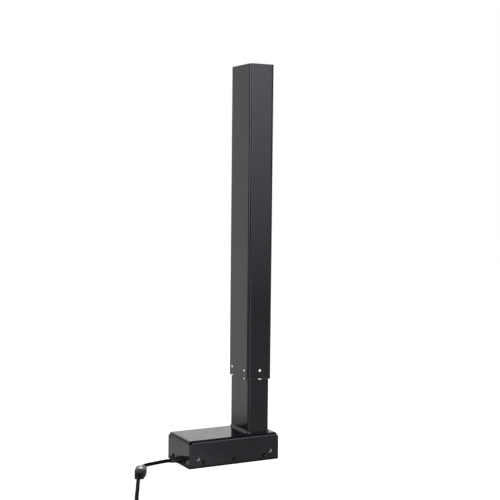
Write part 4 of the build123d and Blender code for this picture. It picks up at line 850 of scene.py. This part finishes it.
def world_nodes(tree):
    """White to the camera, the room to polished surfaces, and an even light to the rest."""
    camera_ray, seen = seen_rays(tree)
    sky = add_node(tree, "ShaderNodeTexCoord").outputs["Generated"]
    up = add_node(tree, "ShaderNodeSeparateXYZ", {0: sky}).outputs["Z"]
    wall = mixed(tree, "RGBA", faded(tree, up, ABOVE_START, ABOVE_FULL, 0, 1), banded(tree, sky, ROOM),
                 banded(tree, sky, ROOM_ABOVE))
    height = faded(tree, up, BACKDROP_TOP, CEILING_START, 1.0, CEILING)
    lit = combine(tree, "MAXIMUM", combine(tree, "MULTIPLY", wall, height), camera_ray)
    strength = mixed(tree, "FLOAT", seen, AMBIENT, lit)
    background = add_node(tree, "ShaderNodeBackground", {"Color": WHITE, "Strength": strength})
    add_node(tree, "ShaderNodeOutputWorld", {"Surface": background.outputs[0]})


world = bpy.data.worlds.new("studio")
scene.world = world
world.use_nodes = True
world.node_tree.nodes.clear()
world_nodes(world.node_tree)

# The floor's level for polished surfaces: by direction, darkened beside the box as a painted contact
# shadow, and by the same turn as the room, as shares of that level near the object and further off
FLOOR_FRONT, FLOOR_FRONT_LEFT, FLOOR_BACK = 0.44, 0.75, 0.84
LEFT_WAY, BACK_WAY, BEHIND_WAY = (-1, 0, 0), (-0.78, 0.62, 0), (0.707, 0.707, 0)
LEFT_FADE, BACK_FADE, BEHIND_FADE = (0.0, 0.12), (-0.02, 0.44), (-0.28, -0.12)
CONTACT_SHADOW_LEVEL, CONTACT_SHADOW_REACH = 0.02, 0.024
FLOOR_NEAR = [(0.0, 0.9), (0.10, 1.0), (0.60, 1.0), (0.70, 0.36), (0.85, 0.36), (0.885, 0.9), (1.0, 0.9)]
FLOOR_FAR = [(0.0, 0.8), (0.09, 0.8), (0.115, 0.12), (0.19, 0.12), (0.215, 3.2), (0.26, 3.2), (0.29, 1.0),
             (0.37, 1.0), (0.45, 1.5), (0.60, 1.5), (0.64, 0.05), (0.70, 0.05), (0.735, 1.0), (0.86, 1.0),
             (0.875, 0.08), (0.95, 0.08), (0.97, 0.8), (1.0, 0.8)]
FLOOR_NEAR_END, FLOOR_FAR_START = 0.21, 0.5
FLOOR_COLOUR, SHOWN_COLOUR, SHOWN_GLOW = (0.82, 0.82, 0.82), (0.4, 0.4, 0.4), 0.8


def floor_nodes(tree):
    """A pale floor that shows white to the camera and still takes the object's soft shadow."""
    camera_ray, seen = seen_rays(tree)
    place = add_node(tree, "ShaderNodeTexCoord").outputs["Object"]
    parts = add_node(tree, "ShaderNodeSeparateXYZ", {0: place}).outputs
    beside = []
    for axis, low, high in (("X", BOX_LOW.x, BOX_HIGH.x), ("Y", BOX_LOW.y, BOX_HIGH.y)):
        off = combine(tree, "ABSOLUTE", combine(tree, "SUBTRACT", parts[axis], (low + high) / 2), 0)
        beside.append(combine(tree, "MAXIMUM", combine(tree, "SUBTRACT", off, (high - low) / 2), 0))
    # Painted shadow: the floor glows less for reflections close beside the box
    contact_shadow = faded(tree, combine(tree, "MAXIMUM", *beside), 0, CONTACT_SHADOW_REACH, CONTACT_SHADOW_LEVEL, 1)
    front = faded(tree, dotted(tree, place, LEFT_WAY), *LEFT_FADE, FLOOR_FRONT, FLOOR_FRONT_LEFT)
    rise = combine(tree, "MULTIPLY", faded(tree, dotted(tree, place, BACK_WAY), *BACK_FADE, 0, 1),
                   faded(tree, dotted(tree, place, BEHIND_WAY), *BEHIND_FADE, 0, 1))
    level = mixed(tree, "FLOAT", rise, front, FLOOR_BACK)
    away = add_node(tree, "ShaderNodeVectorMath", {0: place}, operation="LENGTH").outputs["Value"]
    bands = mixed(tree, "RGBA", faded(tree, away, FLOOR_NEAR_END, FLOOR_FAR_START, 0, 1),
                  banded(tree, place, FLOOR_NEAR), banded(tree, place, FLOOR_FAR))
    sweep = combine(tree, "MULTIPLY", combine(tree, "MULTIPLY", level, contact_shadow), bands)
    strength = combine(tree, "MAXIMUM", sweep, combine(tree, "MULTIPLY", camera_ray, SHOWN_GLOW))
    glow = add_node(tree, "ShaderNodeEmission", {"Color": WHITE, "Strength": strength}).outputs[0]
    plain = add_node(tree, "ShaderNodeBsdfDiffuse", {"Color": FLOOR_COLOUR}).outputs[0]
    dim = add_node(tree, "ShaderNodeBsdfDiffuse", {"Color": SHOWN_COLOUR}).outputs[0]
    shown = add_node(tree, "ShaderNodeAddShader", {0: dim, 1: glow}).outputs[0]
    by_camera = add_node(tree, "ShaderNodeMixShader", {0: camera_ray, 1: glow, 2: shown}).outputs[0]
    mix = add_node(tree, "ShaderNodeMixShader", {0: seen, 1: plain, 2: by_camera})
    add_node(tree, "ShaderNodeOutputMaterial", {"Surface": mix.outputs[0]})


def stage_sheet(name, corners, build):
    """A flat sheet of the stage, with a material that a function fills."""
    material = bpy.data.materials.new(name)
    material.use_nodes = True
    material.node_tree.nodes.clear()
    build(material.node_tree)
    mesh = bpy.data.meshes.new(name)
    mesh.from_pydata(corners, [], [(0, 1, 2, 3)])
    mesh.materials.append(material)
    sheet = bpy.data.objects.new(name, mesh)
    scene.collection.objects.link(sheet)
    return sheet


FLOOR_REACH, FLOOR_DROP = 6.0, -0.0004
stage_sheet("floor", [(x * FLOOR_REACH, y * FLOOR_REACH, FLOOR_DROP)
                      for x, y in ((-1, -1), (1, -1), (1, 1), (-1, 1))], floor_nodes)


def card(name, turns, distance, low, top, levels, diffuse=True):
    """An upright reflector between two bearings (degrees from -Y towards +X), brighter with height."""
    def glow_nodes(tree):
        place = add_node(tree, "ShaderNodeTexCoord").outputs["Object"]
        up = add_node(tree, "ShaderNodeSeparateXYZ", {0: place}).outputs["Z"]
        glow = add_node(tree, "ShaderNodeEmission", {"Strength": ranged(tree, up, low, top, *levels)})
        add_node(tree, "ShaderNodeOutputMaterial", {"Surface": glow.outputs[0]})

    ends = [Vector((math.sin(math.radians(a)), -math.cos(math.radians(a)), 0)) * distance for a in turns]
    foot, rise = Vector((0, 0, low)), Vector((0, 0, top))
    sheet = stage_sheet(name, [ends[0] + foot, ends[1] + foot, ends[1] + rise, ends[0] + rise], glow_nodes)
    sheet.visible_camera = False
    sheet.visible_diffuse = diffuse


card("card_front_right", turns=(14, 36), distance=2.2, low=0.0, top=1.5, levels=(0.2, 3.35))
card("card_front", turns=(-15, 11), distance=2.6, low=0.1, top=1.6, levels=(0.3, 7.5))
card("card_left", turns=(-98, -57), distance=2.6, low=0.0, top=1.6, levels=(0.2, 7.5), diffuse=False)


def softbox(name, place, aim, width, height, power):
    """A soft lamp that shows in no reflection, for the plain level of light."""
    light = bpy.data.lights.new(name, "AREA")
    light.shape = "RECTANGLE"
    light.size, light.size_y = width, height
    light.energy = power
    lamp = bpy.data.objects.new(name, light)
    scene.collection.objects.link(lamp)
    lamp.location = place
    lamp.rotation_mode = "QUATERNION"
    lamp.rotation_quaternion = (Vector(aim) - Vector(place)).to_track_quat("-Z", "Y")
    lamp.visible_camera = False
    lamp.visible_glossy = False


softbox("box_front_right", place=(1.25, -1.75, 1.35), aim=(0, 0, 0.4), width=1.2, height=1.2, power=22)
softbox("box_left", place=(-2.1, -0.3, 1.2), aim=(0, 0, 0.35), width=1.3, height=1.6, power=26)
softbox("box_top", place=(0.2, -0.1, 2.4), aim=(0, 0, 0.3), width=1.2, height=1.2, power=22)
